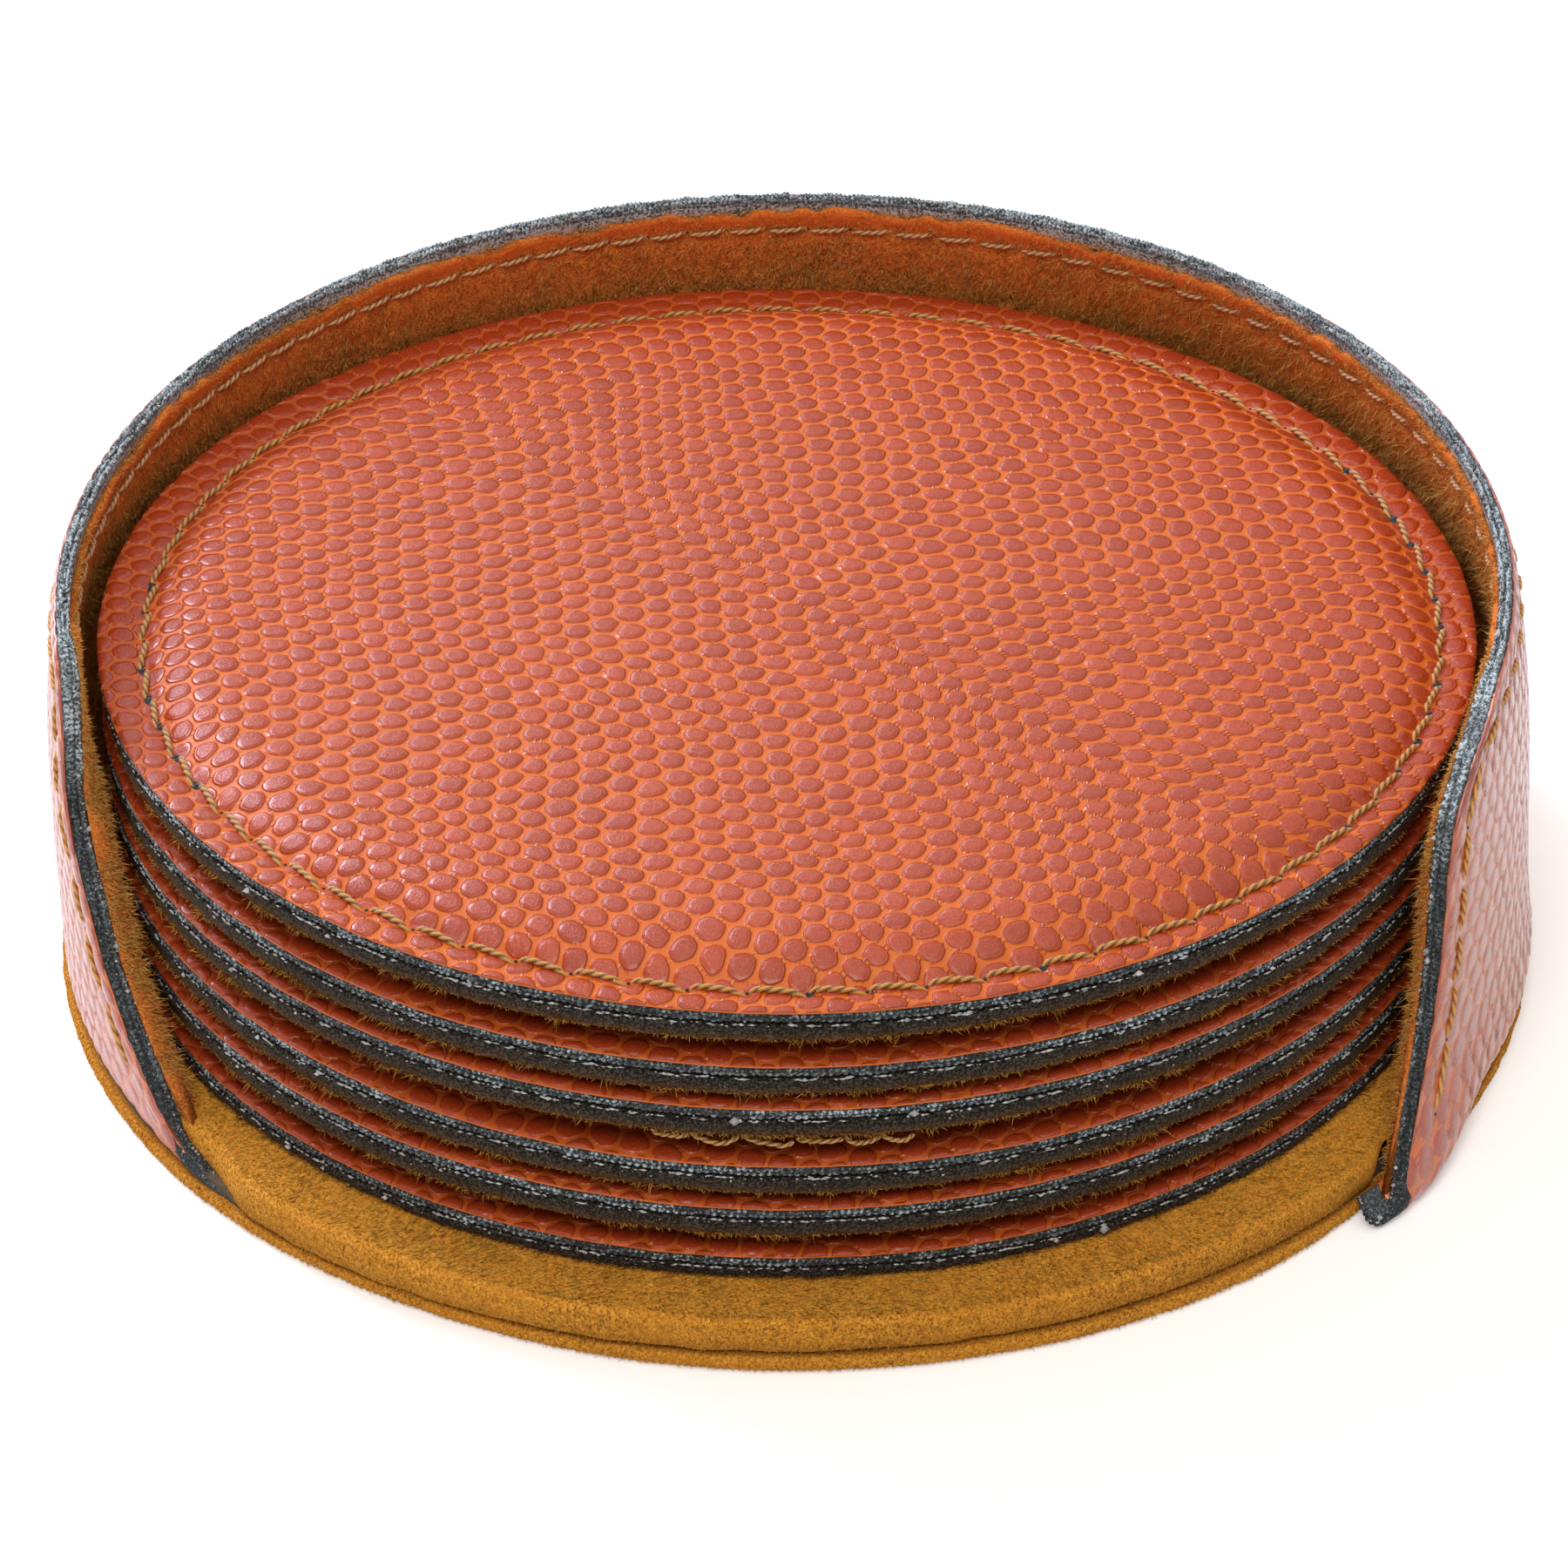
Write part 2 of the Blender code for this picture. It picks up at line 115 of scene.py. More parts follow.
# Places in each piece's map: main faces low, hair and grains in the strip above, unseen faces in a corner
UV_NAME = "OFBake"
WHOLE_RECT = (0.0, 0.0, 1.0, 1.0)
STRIP_RECT = (0.0, 0.0, 1.0, 0.92)
KNIT_RECT = (0.0, 0.0, 1.0, 0.95)
HAIR_RECT = (0.0, 0.93, 1.0, 1.0)
TUFT_RECT = (0.0, 0.955, 1.0, 0.965)
HOLE_SHADOW_AT = (0.5, 0.96)
GRAIN_AT = (0.5, 0.975)
UNSEEN_AT = (0.985, 0.985)


# Number helpers


def ease(x, low, high):
    t = np.clip((x - low) / (high - low), 0.0, 1.0)
    return t * t * (3 - 2 * t)


def bell(x, width):
    return np.exp(-((x / width) ** 2))


def unit(a):
    return a / np.maximum(np.linalg.norm(a, axis=-1, keepdims=True), 1e-9)


def polar(azimuth, radius, height):
    angle = np.radians(azimuth)
    return np.stack(np.broadcast_arrays(radius * np.sin(angle), -radius * np.cos(angle), height), -1)


def hash01(ix, iy, seed):
    """A repeatable random number from 0 to 1 for each pair of whole numbers."""
    n = (ix * 374761393 + iy * 668265263 + seed * 974634777) & 0x7FFFFFFF
    n = ((n ^ (n >> 13)) * 1274126177) & 0x7FFFFFFF
    return ((n ^ (n >> 16)) & 0xFFFFFF) / float(0xFFFFFF)


def noise(x, y, seed):
    """Smooth noise from -1 to 1 with features about one unit wide."""
    x, y = np.broadcast_arrays(np.asarray(x, float), np.asarray(y, float))
    ix, iy = np.floor(x).astype(np.int64), np.floor(y).astype(np.int64)
    fx, fy = x - ix, y - iy
    fx, fy = fx * fx * (3 - 2 * fx), fy * fy * (3 - 2 * fy)
    low = hash01(ix, iy, seed) * (1 - fx) + hash01(ix + 1, iy, seed) * fx
    high = hash01(ix, iy + 1, seed) * (1 - fx) + hash01(ix + 1, iy + 1, seed) * fx
    return 2 * (low * (1 - fy) + high * fy) - 1


# The pebble grain: spacing along and between rows, valleys, and how far places wander
PEBBLE_PITCH = 1.98
PEBBLE_ROW = 1.72
PEBBLE_GAP = 0.33
PEBBLE_ROUND = 0.12
PEBBLE_SHIFT_X = 0.56
PEBBLE_SHIFT_Y = 0.50
ROW_DRIFT = 0.9
ROW_DRIFT_SPAN = 11
RELIEF = 0.10
# Values of the "pebble" and "tint" attributes on cut edges
EDGE_PEBBLE = -0.12
EDGE_TINT = 0.3


def pebbles(x, y, seed):
    """Distance inside each pebble's outline, in mm (negative in the valleys), and a number for each."""
    wx = x + ROW_DRIFT * noise(x / ROW_DRIFT_SPAN, y / ROW_DRIFT_SPAN, seed + 1)
    wy = y + ROW_DRIFT * noise(x / ROW_DRIFT_SPAN, y / ROW_DRIFT_SPAN, seed + 2)
    row = np.floor(wy / PEBBLE_ROW).astype(np.int64)
    px, py, name = [], [], []
    for dr in (-1, 0, 1, 2):
        r = row + dr
        shift = 0.5 * PEBBLE_PITCH * (r & 1)
        col = np.floor((wx - shift) / PEBBLE_PITCH).astype(np.int64)
        for dc in (-1, 0, 1, 2):
            c = col + dc
            px.append(c * PEBBLE_PITCH + shift + PEBBLE_SHIFT_X * (hash01(c, r, seed + 3) - 0.5))
            py.append(r * PEBBLE_ROW + PEBBLE_SHIFT_Y * (hash01(c, r, seed + 4) - 0.5))
            name.append(hash01(c, r, seed + 5))
    px, py, name = np.array(px), np.array(py), np.array(name)
    far = (px - wx) ** 2 + (py - wy) ** 2
    first = far.argmin(0)[None]
    nx, ny = np.take_along_axis(px, first, 0), np.take_along_axis(py, first, 0)
    apart = np.hypot(px - nx, py - ny)
    edge = (far - np.take_along_axis(far, first, 0)) / np.maximum(2 * apart, 1e-6)
    edge[apart < 1e-6] = 9.0
    inside = -PEBBLE_ROUND * np.log(np.exp(-edge / PEBBLE_ROUND).sum(0))
    return inside - PEBBLE_GAP / 2, np.take_along_axis(name, first, 0)[0]


def grain_drop(inside):
    """How far the leather lies under its pebbles' tops."""
    return RELIEF * (1 - ease(inside, -0.13, 0.16))


# Mesh helpers


class Piece:
    """Collects closed shells of one piece, with values for each vertex and a map for each corner."""

    def __init__(self, name, raised=0.0):
        self.name = name
        self.raised = np.array([0.0, 0.0, raised])
        self.verts, self.faces, self.maps = [], [], []
        self.values = {}
        self.count = 0

    def add(self, verts, groups, **values):
        """groups: pairs of a face array and its corners' map places, wound alike."""
        verts = np.asarray(verts, float)
        if volume(verts, groups) < 0:
            groups = [(faces[:, ::-1], places[:, ::-1]) for faces, places in groups]
        for faces, places in groups:
            self.faces.append(faces + self.count)
            self.maps.append(places)
        self.verts.append(verts)
        for key in set(self.values) | set(values):
            found = self.values.setdefault(key, [np.zeros(self.count)] if self.count else [])
            found.append(np.broadcast_to(np.asarray(values.get(key, 0.0), float), len(verts)))
        self.count += len(verts)

    def make(self, look, body, slot, *nodes):
        mesh = bpy.data.meshes.new(self.name)
        faces = [face for group in self.faces for face in group.tolist()]
        mesh.from_pydata(((np.concatenate(self.verts) + self.raised) * MM).tolist(), [], faces)
        layer = mesh.uv_layers.new(name=UV_NAME)
        places = np.concatenate([m.reshape(-1, 2) for m in self.maps])
        layer.uv.foreach_set("vector", places.astype(np.float32).ravel())
        for key, parts in self.values.items():
            attribute = mesh.attributes.new(key, "FLOAT", "POINT")
            attribute.data.foreach_set("value", np.concatenate(parts).astype(np.float32))
        mesh.shade_smooth()
        obj = bpy.data.objects.new(self.name, mesh)
        bpy.context.scene.collection.objects.link(obj)
        mesh.materials.append(look)
        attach(obj, body)
        if nodes:
            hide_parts(*nodes)
        return obj


def volume(verts, groups):
    """Six times the signed volume, from fans of each face."""
    total = 0.0
    for faces, _ in groups:
        for i in range(1, faces.shape[1] - 1):
            a, b, c = verts[faces[:, 0]], verts[faces[:, i]], verts[faces[:, i + 1]]
            total += np.einsum("ij,ij->i", a, np.cross(b, c)).sum()
    return total


def grid(rows, cols, wrap=False, bands=1, rect=WHOLE_RECT, start=0):
    """Faces of a grid of vertices, numbered row by row, and their map: a strip in bands, stacked in rect."""
    across = cols if wrap else cols - 1
    r, c = (a.ravel()[:, None] for a in np.mgrid[0 : rows - 1, 0:across])
    row = r + np.array([[0, 0, 1, 1]])
    col = c + np.array([[0, 1, 1, 0]])
    per_band = -(-across // bands)
    band = np.minimum(col[:, :1] // per_band, bands - 1)
    u = (col - band * per_band) / per_band
    v = (band + 0.04 + 0.92 * row / (rows - 1)) / bands
    u0, v0, u1, v1 = rect
    return start + row * cols + col % cols, np.stack([u0 + (u1 - u0) * u, v0 + (v1 - v0) * v], -1)


def ring_map(azimuth, reach, high):
    """Places for rings of vertices, each ring at its own reach from the middle of the map."""
    way = polar(azimuth, 1.0, 0.0)[:, :2]
    return (0.5 + way[None] * reach[:, None, None]).reshape(-1, 2) * [1.0, high]


def spot_map(faces, at, size):
    """One small place in the map for all these faces."""
    turn = np.linspace(0, math.tau, faces.shape[1], endpoint=False)
    ring = np.stack([at[0] + size * np.cos(turn), at[1] + size * np.sin(turn)], -1)
    return np.broadcast_to(ring, (len(faces), *ring.shape))


def hidden(faces):
    """Faces that are never seen, with their map."""
    faces = np.atleast_2d(np.asarray(faces))
    return faces, spot_map(faces, UNSEEN_AT, 0.01)


def copies(faces, each, count):
    """The same faces again for each of count shells of each vertices."""
    return (faces[None] + each * np.arange(count)[:, None, None]).reshape(-1, faces.shape[1])


STRAND_SIDES = 12
STRAND_LOBES = 0.36
STRAND_TWIST = 15.0


def strands(piece, centres, across, upward, radius):
    """Twisted two-ply threads: centres is (threads, stations, 3), with a radius at each station."""
    count, stations, _ = centres.shape
    turn = np.linspace(0, math.tau, STRAND_SIDES, endpoint=False)
    run = np.linspace(0, 1, stations)
    lobe = np.cos(turn[None, :] - STRAND_TWIST * run[:, None]) ** 2
    reach = radius[:, :, None] * (1 - STRAND_LOBES + STRAND_LOBES * lobe[None])
    ring = across[:, :, None] * np.cos(turn)[:, None] + upward[:, :, None] * np.sin(turn)[:, None]
    verts = centres[:, :, None] + ring * reach[..., None]
    faces, places = grid(stations, STRAND_SIDES, wrap=True)
    corner = np.arange(STRAND_SIDES)
    caps = np.array([corner[::-1], (stations - 1) * STRAND_SIDES + corner])
    side = math.ceil(math.sqrt(count))
    cell = np.stack([np.arange(count) % side, np.arange(count) // side], -1) / side
    size = np.array(STRIP_RECT[2:])
    spread = size * (cell[:, None, None] + places[None] * 0.9 / side)
    end_map = spread[:, :1, :1] + np.stack([np.cos(turn), np.sin(turn)], -1) * 0.1 / side * size
    end_map = np.broadcast_to(end_map, (count, 2, STRAND_SIDES, 2))
    each = stations * STRAND_SIDES
    groups = [(copies(faces, each, count), spread.reshape(-1, 4, 2)),
              (copies(caps, each, count), end_map.reshape(-1, STRAND_SIDES, 2))]
    shade = np.broadcast_to(lobe[None], (count, stations, STRAND_SIDES))
    piece.add(verts.reshape(-1, 3), groups, lobe=shade.ravel())


def fibres(piece, roots, ways, lengths, width, seed, droop=0.5, bent=True, dark=0.0, rect=HAIR_RECT):
    """Tapered three-sided hairs, bent or straight, each a closed shell."""
    count = len(roots)
    rng = np.random.default_rng(seed)
    ways = unit(ways)
    bend = unit(rng.normal(size=(count, 3))) * droop
    side = unit(np.cross(ways, unit(rng.normal(size=(count, 3)))))
    other = np.cross(ways, side)
    reach = lengths[:, None]
    rings = [(roots, 1.0)]
    if bent:
        rings.append((roots + ways * reach * 0.5 + bend * reach * 0.15, 0.75))
    verts = []
    for centre, wide in rings:
        for k in range(3):
            turn = math.tau * k / 3
            verts.append(centre + (side * math.cos(turn) + other * math.sin(turn)) * width * wide / 2)
    verts.append(roots + (ways + bend * 0.5) * reach)
    each = len(verts)
    tip = each - 4 + np.array([[0, 1, 3], [1, 2, 3], [2, 0, 3]])
    kinds = [np.append(tip, [[2, 1, 0]], axis=0)]
    if bent:
        kinds.append(np.array([[0, 1, 4, 3], [1, 2, 5, 4], [2, 0, 3, 5]]))
    long, tall = rect[2] - rect[0], rect[3] - rect[1]
    high = max(1, round(math.sqrt(count * tall / long)))
    wide = -(-count // high)
    cell = np.array([long / wide, tall / high])
    corner = np.stack([np.arange(count) % wide, np.arange(count) // wide], -1) * cell + np.array(rect[:2])
    square = np.array([[0.1, 0.1], [0.9, 0.1], [0.9, 0.9], [0.1, 0.9]])
    four = corner[:, None, None] + (square * cell)[None, None]
    groups = []
    for faces in kinds:
        places = np.broadcast_to(four[:, :, : faces.shape[1]], (count, *faces.shape, 2))
        groups.append((copies(faces, each, count), places.reshape(-1, faces.shape[1], 2)))
    light, shaded = 0.25 + 0.75 * rng.random(count), rng.random(count) < dark
    piece.add(np.stack(verts, 1).reshape(-1, 3), groups,
              hair=np.repeat(np.where(shaded, 0.3 * light, light), each),
              shade=np.repeat(np.where(shaded, light, 0.0), each))


def lumps(piece, centres, size, rng, azimuth=None, stretch=1.0):
    """Small uneven eight-sided grains, drawn out along the edge where stretch says so."""
    count = len(centres)
    corners = np.array([[1, 0, 0], [0, 1, 0], [-1, 0, 0], [0, -1, 0], [0, 0, 1], [0, 0, -1]], float)
    spread = corners[None] * (0.7 + 0.9 * rng.random((count, 6, 1)))
    if azimuth is not None:
        along = polar(azimuth + 90.0, 1.0, 0.0)[:, None]
        spread = spread + along * (spread * along).sum(-1, keepdims=True) * (stretch - 1)[:, None, None]
    verts = centres[:, None] + spread * size[:, None, None]
    faces = [[0, 1, 4], [1, 2, 4], [2, 3, 4], [3, 0, 4], [1, 0, 5], [2, 1, 5], [3, 2, 5], [0, 3, 5]]
    faces = copies(np.array(faces), 6, count)
    pale = 0.5 + 0.5 * np.repeat(rng.random(count), 6)
    piece.add(verts.reshape(-1, 3), [(faces, spot_map(faces, GRAIN_AT, 0.02))], speck=pale)


# Materials


class Nodes:
    """A node tree, with short calls for the nodes that the looks share."""

    def __init__(self, owner):
        owner.use_nodes = True
        self.tree = owner.node_tree

    def feed(self, target, value):
        """Links a socket to the target, or sets a colour or a number there."""
        if isinstance(value, bpy.types.NodeSocket):
            self.tree.links.new(value, target)
        else:
            target.default_value = (*value, 1.0) if target.type == "RGBA" else value

    def add(self, kind, inputs, output, **settings):
        made = self.tree.nodes.new(kind)
        for key, value in settings.items():
            setattr(made, key, value)
        for key, value in inputs.items():
            self.feed(made.inputs[key], value)
        return made.outputs[output]

    def attribute(self, name):
        return self.add("ShaderNodeAttribute", {}, "Fac", attribute_name=name)

    def place(self):
        return self.add("ShaderNodeTexCoord", {}, "Object")

    def speckle(self, scale, detail=2.0, rough=0.5, distortion=0.0):
        """Noise in the object's own metres, so that scale is in features per metre."""
        inputs = {"Vector": self.place(), "Scale": scale, "Detail": detail, "Roughness": rough}
        return self.add("ShaderNodeTexNoise", {**inputs, "Distortion": distortion}, "Fac")

    def between(self, value, low, high, to_low=0.0, to_high=1.0):
        inputs = {"Value": value, "From Min": low, "From Max": high, "To Min": to_low, "To Max": to_high}
        return self.add("ShaderNodeMapRange", inputs, "Result", interpolation_type="SMOOTHSTEP")

    def mix(self, share, first, second):
        return self.add("ShaderNodeMix", {0: share, 6: first, 7: second}, 2, data_type="RGBA")

    def sums(self, way, first, second):
        return self.add("ShaderNodeMath", {0: first, 1: second}, 0, operation=way)


class Look(Nodes):
    """A material with one Principled shader."""

    def __init__(self, name):
        self.material = bpy.data.materials.new(name)
        super().__init__(self.material)
        self.shader = self.tree.nodes["Principled BSDF"]

    def put(self, **values):
        """Feeds the shader's own sockets; _ stands for a space in their names."""
        for key, value in values.items():
            self.feed(self.shader.inputs[key.replace("_", " ")], value)

    def bump(self, height, depth_mm, strength):
        inputs = {"Height": height, "Strength": strength, "Distance": depth_mm * MM}
        self.put(Normal=self.add("ShaderNodeBump", inputs, "Normal"))


def leather_look(name, top, deep, vein, valley, roughness, coat):
    look = Look(name)
    inside, tint = look.attribute("pebble"), look.attribute("tint")
    wrinkle = look.between(look.speckle(5200, 4.0, 0.62, 0.6), 0.50, 0.68, 0.0, 0.60)
    scratch = look.between(look.speckle(3600, 3.0, 0.6, 1.2), 0.53, 0.66, 0.0, 0.90)
    # Tints from 0 to 1 vary the pebbles' tone at random; tints above 1 are the margins' painted shade, which
    # holds the tops three quarters of the way to the deep red
    crest = look.mix(look.between(tint, 0.0, 1.0, 0.0, 0.75), top, deep)
    crest = look.mix(scratch, look.mix(wrinkle, crest, vein), deep)
    floor = look.mix(look.between(look.speckle(240), 0.35, 0.7, 0.0, 0.30), valley, vein)
    # Painted shade: tints from 1 to 2 darken the valleys towards the deep red on the coasters' margins
    floor = look.mix(look.between(tint, 1.0, 2.0, 0.0, 0.85), floor, deep)
    rough = look.between(look.speckle(9000, 3.0, 0.6), 0.3, 0.7, roughness - 0.05, roughness + 0.05)
    look.put(Base_Color=look.mix(look.between(inside, -0.06, 0.03), floor, crest),
             Roughness=look.sums("ADD", rough, look.between(inside, -0.08, 0.02, 0.28, 0.0)),
             Specular_IOR_Level=0.38, Coat_Weight=coat, Coat_Roughness=0.32, Coat_IOR=1.7)
    plateau = look.between(inside, 0.10, 0.28, 0.0, 0.45)
    fine = look.sums("MULTIPLY", look.speckle(6500, 4.0, 0.65, 0.4), plateau)
    look.bump(look.sums("ADD", look.between(inside, -0.08, 0.06), fine), depth_mm=0.11, strength=1.0)
    return look.material


CUT_DARK = (0.0036, 0.0030, 0.0024)
CUT_LIGHT = (0.078, 0.065, 0.052)


def suede_look(name, dark, mid, light, hair_light, sheen, band=None):
    look = Look(name)
    streak = look.speckle(5400, 4.0, 0.68, 0.7)
    colour = look.mix(look.between(streak, 0.36, 0.52), dark, mid)
    colour = look.mix(look.between(streak, 0.52, 0.64), colour, light)
    colour = look.mix(look.between(look.speckle(170, 3.0, 0.55), 0.38, 0.66, 0.0, 0.30), colour, mid)
    colour = look.mix(look.between(look.attribute("hair"), 0.05, 1.0, 0.0, 0.9), colour, hair_light)
    colour = look.mix(look.between(look.attribute("shade"), 0.0, 1.0, 0.0, 0.75), colour, band or dark)
    ply = look.mix(look.between(look.speckle(5600, 3.0, 0.6), 0.44, 0.62), CUT_DARK, CUT_LIGHT)
    look.put(Base_Color=look.mix(look.attribute("cut"), colour, ply), Roughness=0.92, Specular_IOR_Level=0.2,
             Sheen_Weight=sheen, Sheen_Roughness=0.45, Sheen_Tint=light)
    look.bump(streak, depth_mm=0.25, strength=0.7)
    return look.material


def knit_look():
    look = Look("knit_edge")
    yarn = look.speckle(5200, 3.0, 0.6)
    colour = look.mix(look.between(yarn, 0.42, 0.66), (0.0012, 0.0014, 0.0016), (0.015, 0.018, 0.021))
    # Painted highlight: scattered glints on the yarn
    colour = look.mix(look.between(look.speckle(6200), 0.61, 0.69, 0.0, 0.6), colour, (0.42, 0.47, 0.50))
    brown = look.mix(look.between(yarn, 0.35, 0.65), (0.010, 0.007, 0.005), (0.075, 0.058, 0.045))
    colour = look.mix(look.attribute("ply"), colour, brown)
    # Painted highlight: the pale attribute lights the loops' crests on the coasters' edges and the cut plies
    # near the wall's rim
    pale = look.sums("MULTIPLY", look.attribute("pale"), look.between(yarn, 0.42, 0.58, 0.15, 1.40))
    colour = look.mix(pale, colour, (0.60, 0.70, 0.76))
    colour = look.mix(look.attribute("speck"), colour, (0.74, 0.73, 0.71))
    look.put(Base_Color=colour, Roughness=look.between(yarn, 0.3, 0.7, 0.62, 0.85), Specular_IOR_Level=0.35,
             Sheen_Weight=0.15, Sheen_Tint=(0.55, 0.65, 0.75))
    look.bump(yarn, depth_mm=0.16, strength=1.0)
    return look.material


def thread_look(name, dark, light, pale):
    look = Look(name)
    strand = look.speckle(7000)
    # Painted shade: darker in the groove between the two plies, by the lobe number
    colour = look.mix(look.between(look.attribute("lobe"), 0.05, 0.75), dark, light)
    colour = look.mix(look.between(strand, 0.55, 0.75, 0.0, 0.6), colour, pale)
    # Painted shadow: near black on the lenses in the needle holes
    colour = look.mix(look.attribute("hole"), colour, (0.004, 0.003, 0.002))
    look.put(Base_Color=colour, Roughness=look.between(strand, 0.3, 0.7, 0.55, 0.75), Sheen_Weight=0.2)
    look.bump(strand, depth_mm=0.05, strength=0.6)
    return look.material


def board_look():
    look = Look("grey_board")
    pulp = look.speckle(1800, 4.0, 0.6)
    look.put(Base_Color=look.mix(look.between(pulp, 0.3, 0.7), (0.05, 0.035, 0.02), (0.14, 0.10, 0.06)),
             Roughness=look.between(pulp, 0.3, 0.7, 0.8, 0.95))
    look.bump(pulp, depth_mm=0.08, strength=0.6)
    return look.material


# Pebble top, its deep red (also the painted shade on the coasters' margins), its veins and the valleys
RED_HUES = ((0.465, 0.060, 0.015), (0.34, 0.036, 0.009), (0.56, 0.088, 0.012), (0.64, 0.127, 0.008))
LEATHER = leather_look("pebbled_leatherette", *RED_HUES, roughness=0.24, coat=0.0)
WALL_LEATHER = leather_look("wall_leatherette", *RED_HUES, roughness=0.26, coat=1.0)
# Dark, middle and light streaks, and the hair; band is the pressed strip along the lining's edge
COASTER_SUEDE = suede_look("coaster_suede", (0.06, 0.024, 0.005), (0.22, 0.090, 0.016), (0.46, 0.20, 0.034),
                           (0.86, 0.42, 0.070), sheen=0.10)
LINING_SUEDE = suede_look("lining_suede", (0.30, 0.064, 0.011), (0.90, 0.230, 0.038), (1.0, 0.40, 0.076),
                          (1.0, 0.64, 0.160), sheen=0.25, band=(0.92, 0.190, 0.032))
BASE_SUEDE = suede_look("base_suede", (0.22, 0.075, 0.009), (0.78, 0.310, 0.031), (1.0, 0.50, 0.064),
                        (1.0, 0.66, 0.105), sheen=0.20)
KNIT = knit_look()
# Painted shade in the groove between the plies, the crests' colour, and the pale flecks
THREAD = thread_look("tan_thread", (0.10, 0.038, 0.006), (0.58, 0.28, 0.048), (0.80, 0.60, 0.34))
WALL_THREAD = thread_look("golden_thread", (0.28, 0.110, 0.022), (0.72, 0.36, 0.090), (0.82, 0.56, 0.28))
LINING_THREAD = thread_look("pale_thread", (0.20, 0.090, 0.030), (0.66, 0.38, 0.16), (0.85, 0.66, 0.45))
BOARD = board_look()


# Coasters

# The curl of the margin, the padded shoulder and dome, and how thread and needle holes pull the leather down
CURL_FROM_R = 36.0
CURL_SPREAD = 1.15
EDGE_WAVE = 0.07
SHOULDER_FROM = 0.25
SHOULDER_WIDTH = 5.6
SHOULDER_POWER = 2.3
DOME = 0.08
DOME_R = 40.0
SEAM_PULL, SEAM_PULL_WIDTH = 0.13, 0.55
HOLE_PULL, HOLE_PULL_WIDTH = 0.24, 0.42
EDGE_DROP, EDGE_DROP_WIDTH = 0.10, 0.45


class Coaster:
    """Where one coaster's soft surfaces lie: its curled edge, sewn ring and padded crown."""

    def __init__(self, number, ring_shift, front_curl, turn, side_curl=0.0):
        self.number = number
        self.body = f"coaster_{number}"
        self.seed = 40 * number
        self.base = STACK_Z + PITCH_Z * (number - 1)
        self.ring = np.array(ring_shift)
        self.front_curl = front_curl
        self.side_curl = side_curl
        self.turn = math.radians(turn)
        self.first_hole = 0.3 * number

    def piece(self, name):
        return Piece(f"{self.body}_{name}", self.base)

    def curl(self, x, y):
        """How far the soft margin bends up or down, all layers alike."""
        radius, angle = np.hypot(x, y), np.arctan2(x, -y)
        wave = EDGE_WAVE * noise(3 * np.sin(angle) + 5, 3 * np.cos(angle) + self.number, self.seed + 9)
        sides = self.side_curl * np.sin(angle) ** 2
        lift = self.front_curl * bell(angle, CURL_SPREAD) + sides + wave
        return lift * ease(radius, CURL_FROM_R, COASTER_R)

    def bent(self, points):
        """The points, raised by the curl."""
        points[..., 2] += self.curl(points[..., 0], points[..., 1])
        return points

    def sewn(self, x, y):
        """Distance out from the sewn ring, and along it from the nearest needle hole."""
        dx, dy = x - self.ring[0], y - self.ring[1]
        angle = np.arctan2(dy, dx)
        step = math.tau / STITCHES
        along = (angle - self.first_hole + step / 2) % step - step / 2
        return np.hypot(dx, dy) - SEAM_R, along * SEAM_R

    def hole_pull(self, x, y):
        return HOLE_PULL * bell(np.hypot(*self.sewn(x, y)), HOLE_PULL_WIDTH)

    def top(self, x, y):
        """Height of the leather before its grain."""
        out, radius = self.sewn(x, y)[0], np.hypot(x, y)
        rise = np.clip((-SHOULDER_FROM - out) / SHOULDER_WIDTH, 0.0, 1.0)
        crown = (CROWN_Z - DOME - MARGIN_Z) * (1 - (1 - rise) ** SHOULDER_POWER)
        crown = crown + DOME * np.clip(1 - radius / DOME_R, 0, 1)
        pull = SEAM_PULL * bell(out, SEAM_PULL_WIDTH) + self.hole_pull(x, y)
        edge = EDGE_DROP * ease(radius, COASTER_R - EDGE_DROP_WIDTH, COASTER_R)
        return MARGIN_Z + crown - pull - edge + self.curl(x, y)


SET = [
    Coaster(1, (0.3, 0.35), -0.05, 10),
    Coaster(2, (-0.2, 0.40), 0.05, 75),
    Coaster(3, (0.2, 0.45), -0.34, 140),
    Coaster(4, (-0.25, 0.30), 0.22, 200),
    Coaster(5, (0.1, 0.55), -0.26, 265),
    Coaster(6, (0.35, -0.75), -0.03, 22, 0.42),
]
LOOSE_BOBBIN = 4
TOP_CELLS = 300
# Reach of the top in its map, and of each row of its cut edge past that
TOP_MAP_R = 0.46
EDGE_MAP = 0.008


def disc_places(cells):
    """A square grid drawn into the unit disc with nearly even cells."""
    line = np.linspace(-1, 1, cells + 1)
    a, b = np.meshgrid(line, line)
    wide = np.abs(a) > np.abs(b)
    radius = np.where(wide, a, b)
    safe_a, safe_b = np.where(a == 0, 1, a), np.where(b == 0, 1, b)
    angle = np.where(wide, math.pi / 4 * b / safe_a, math.pi / 2 - math.pi / 4 * a / safe_b)
    return (radius * np.cos(angle)).ravel(), (radius * np.sin(angle)).ravel()


def square_loop(cells):
    """Numbers of the grid's outer vertices, in order."""
    side = cells + 1
    ahead = np.arange(cells)
    return np.concatenate([ahead, ahead * side + cells, cells * side + cells - ahead, (cells - ahead) * side])


def margin_painted_shade(coaster, x, y, tint):
    """The pebbles' tints, raised by painted shade on the margin from the seam out: all round in the stack and
    deepest towards the sides, and only at the sides on top.
    """
    painted_shade, side = ease(coaster.sewn(x, y)[0], -0.6, 0.5), np.abs(np.arctan2(x, -y))
    if coaster.number < COASTERS:
        deepest_shade = 1.45 + 0.4 * ease(side, 0.4, 0.9)
    else:
        painted_shade, deepest_shade = painted_shade * ease(side, 0.6, 1.3), 1.55
    return tint + (deepest_shade - tint) * painted_shade


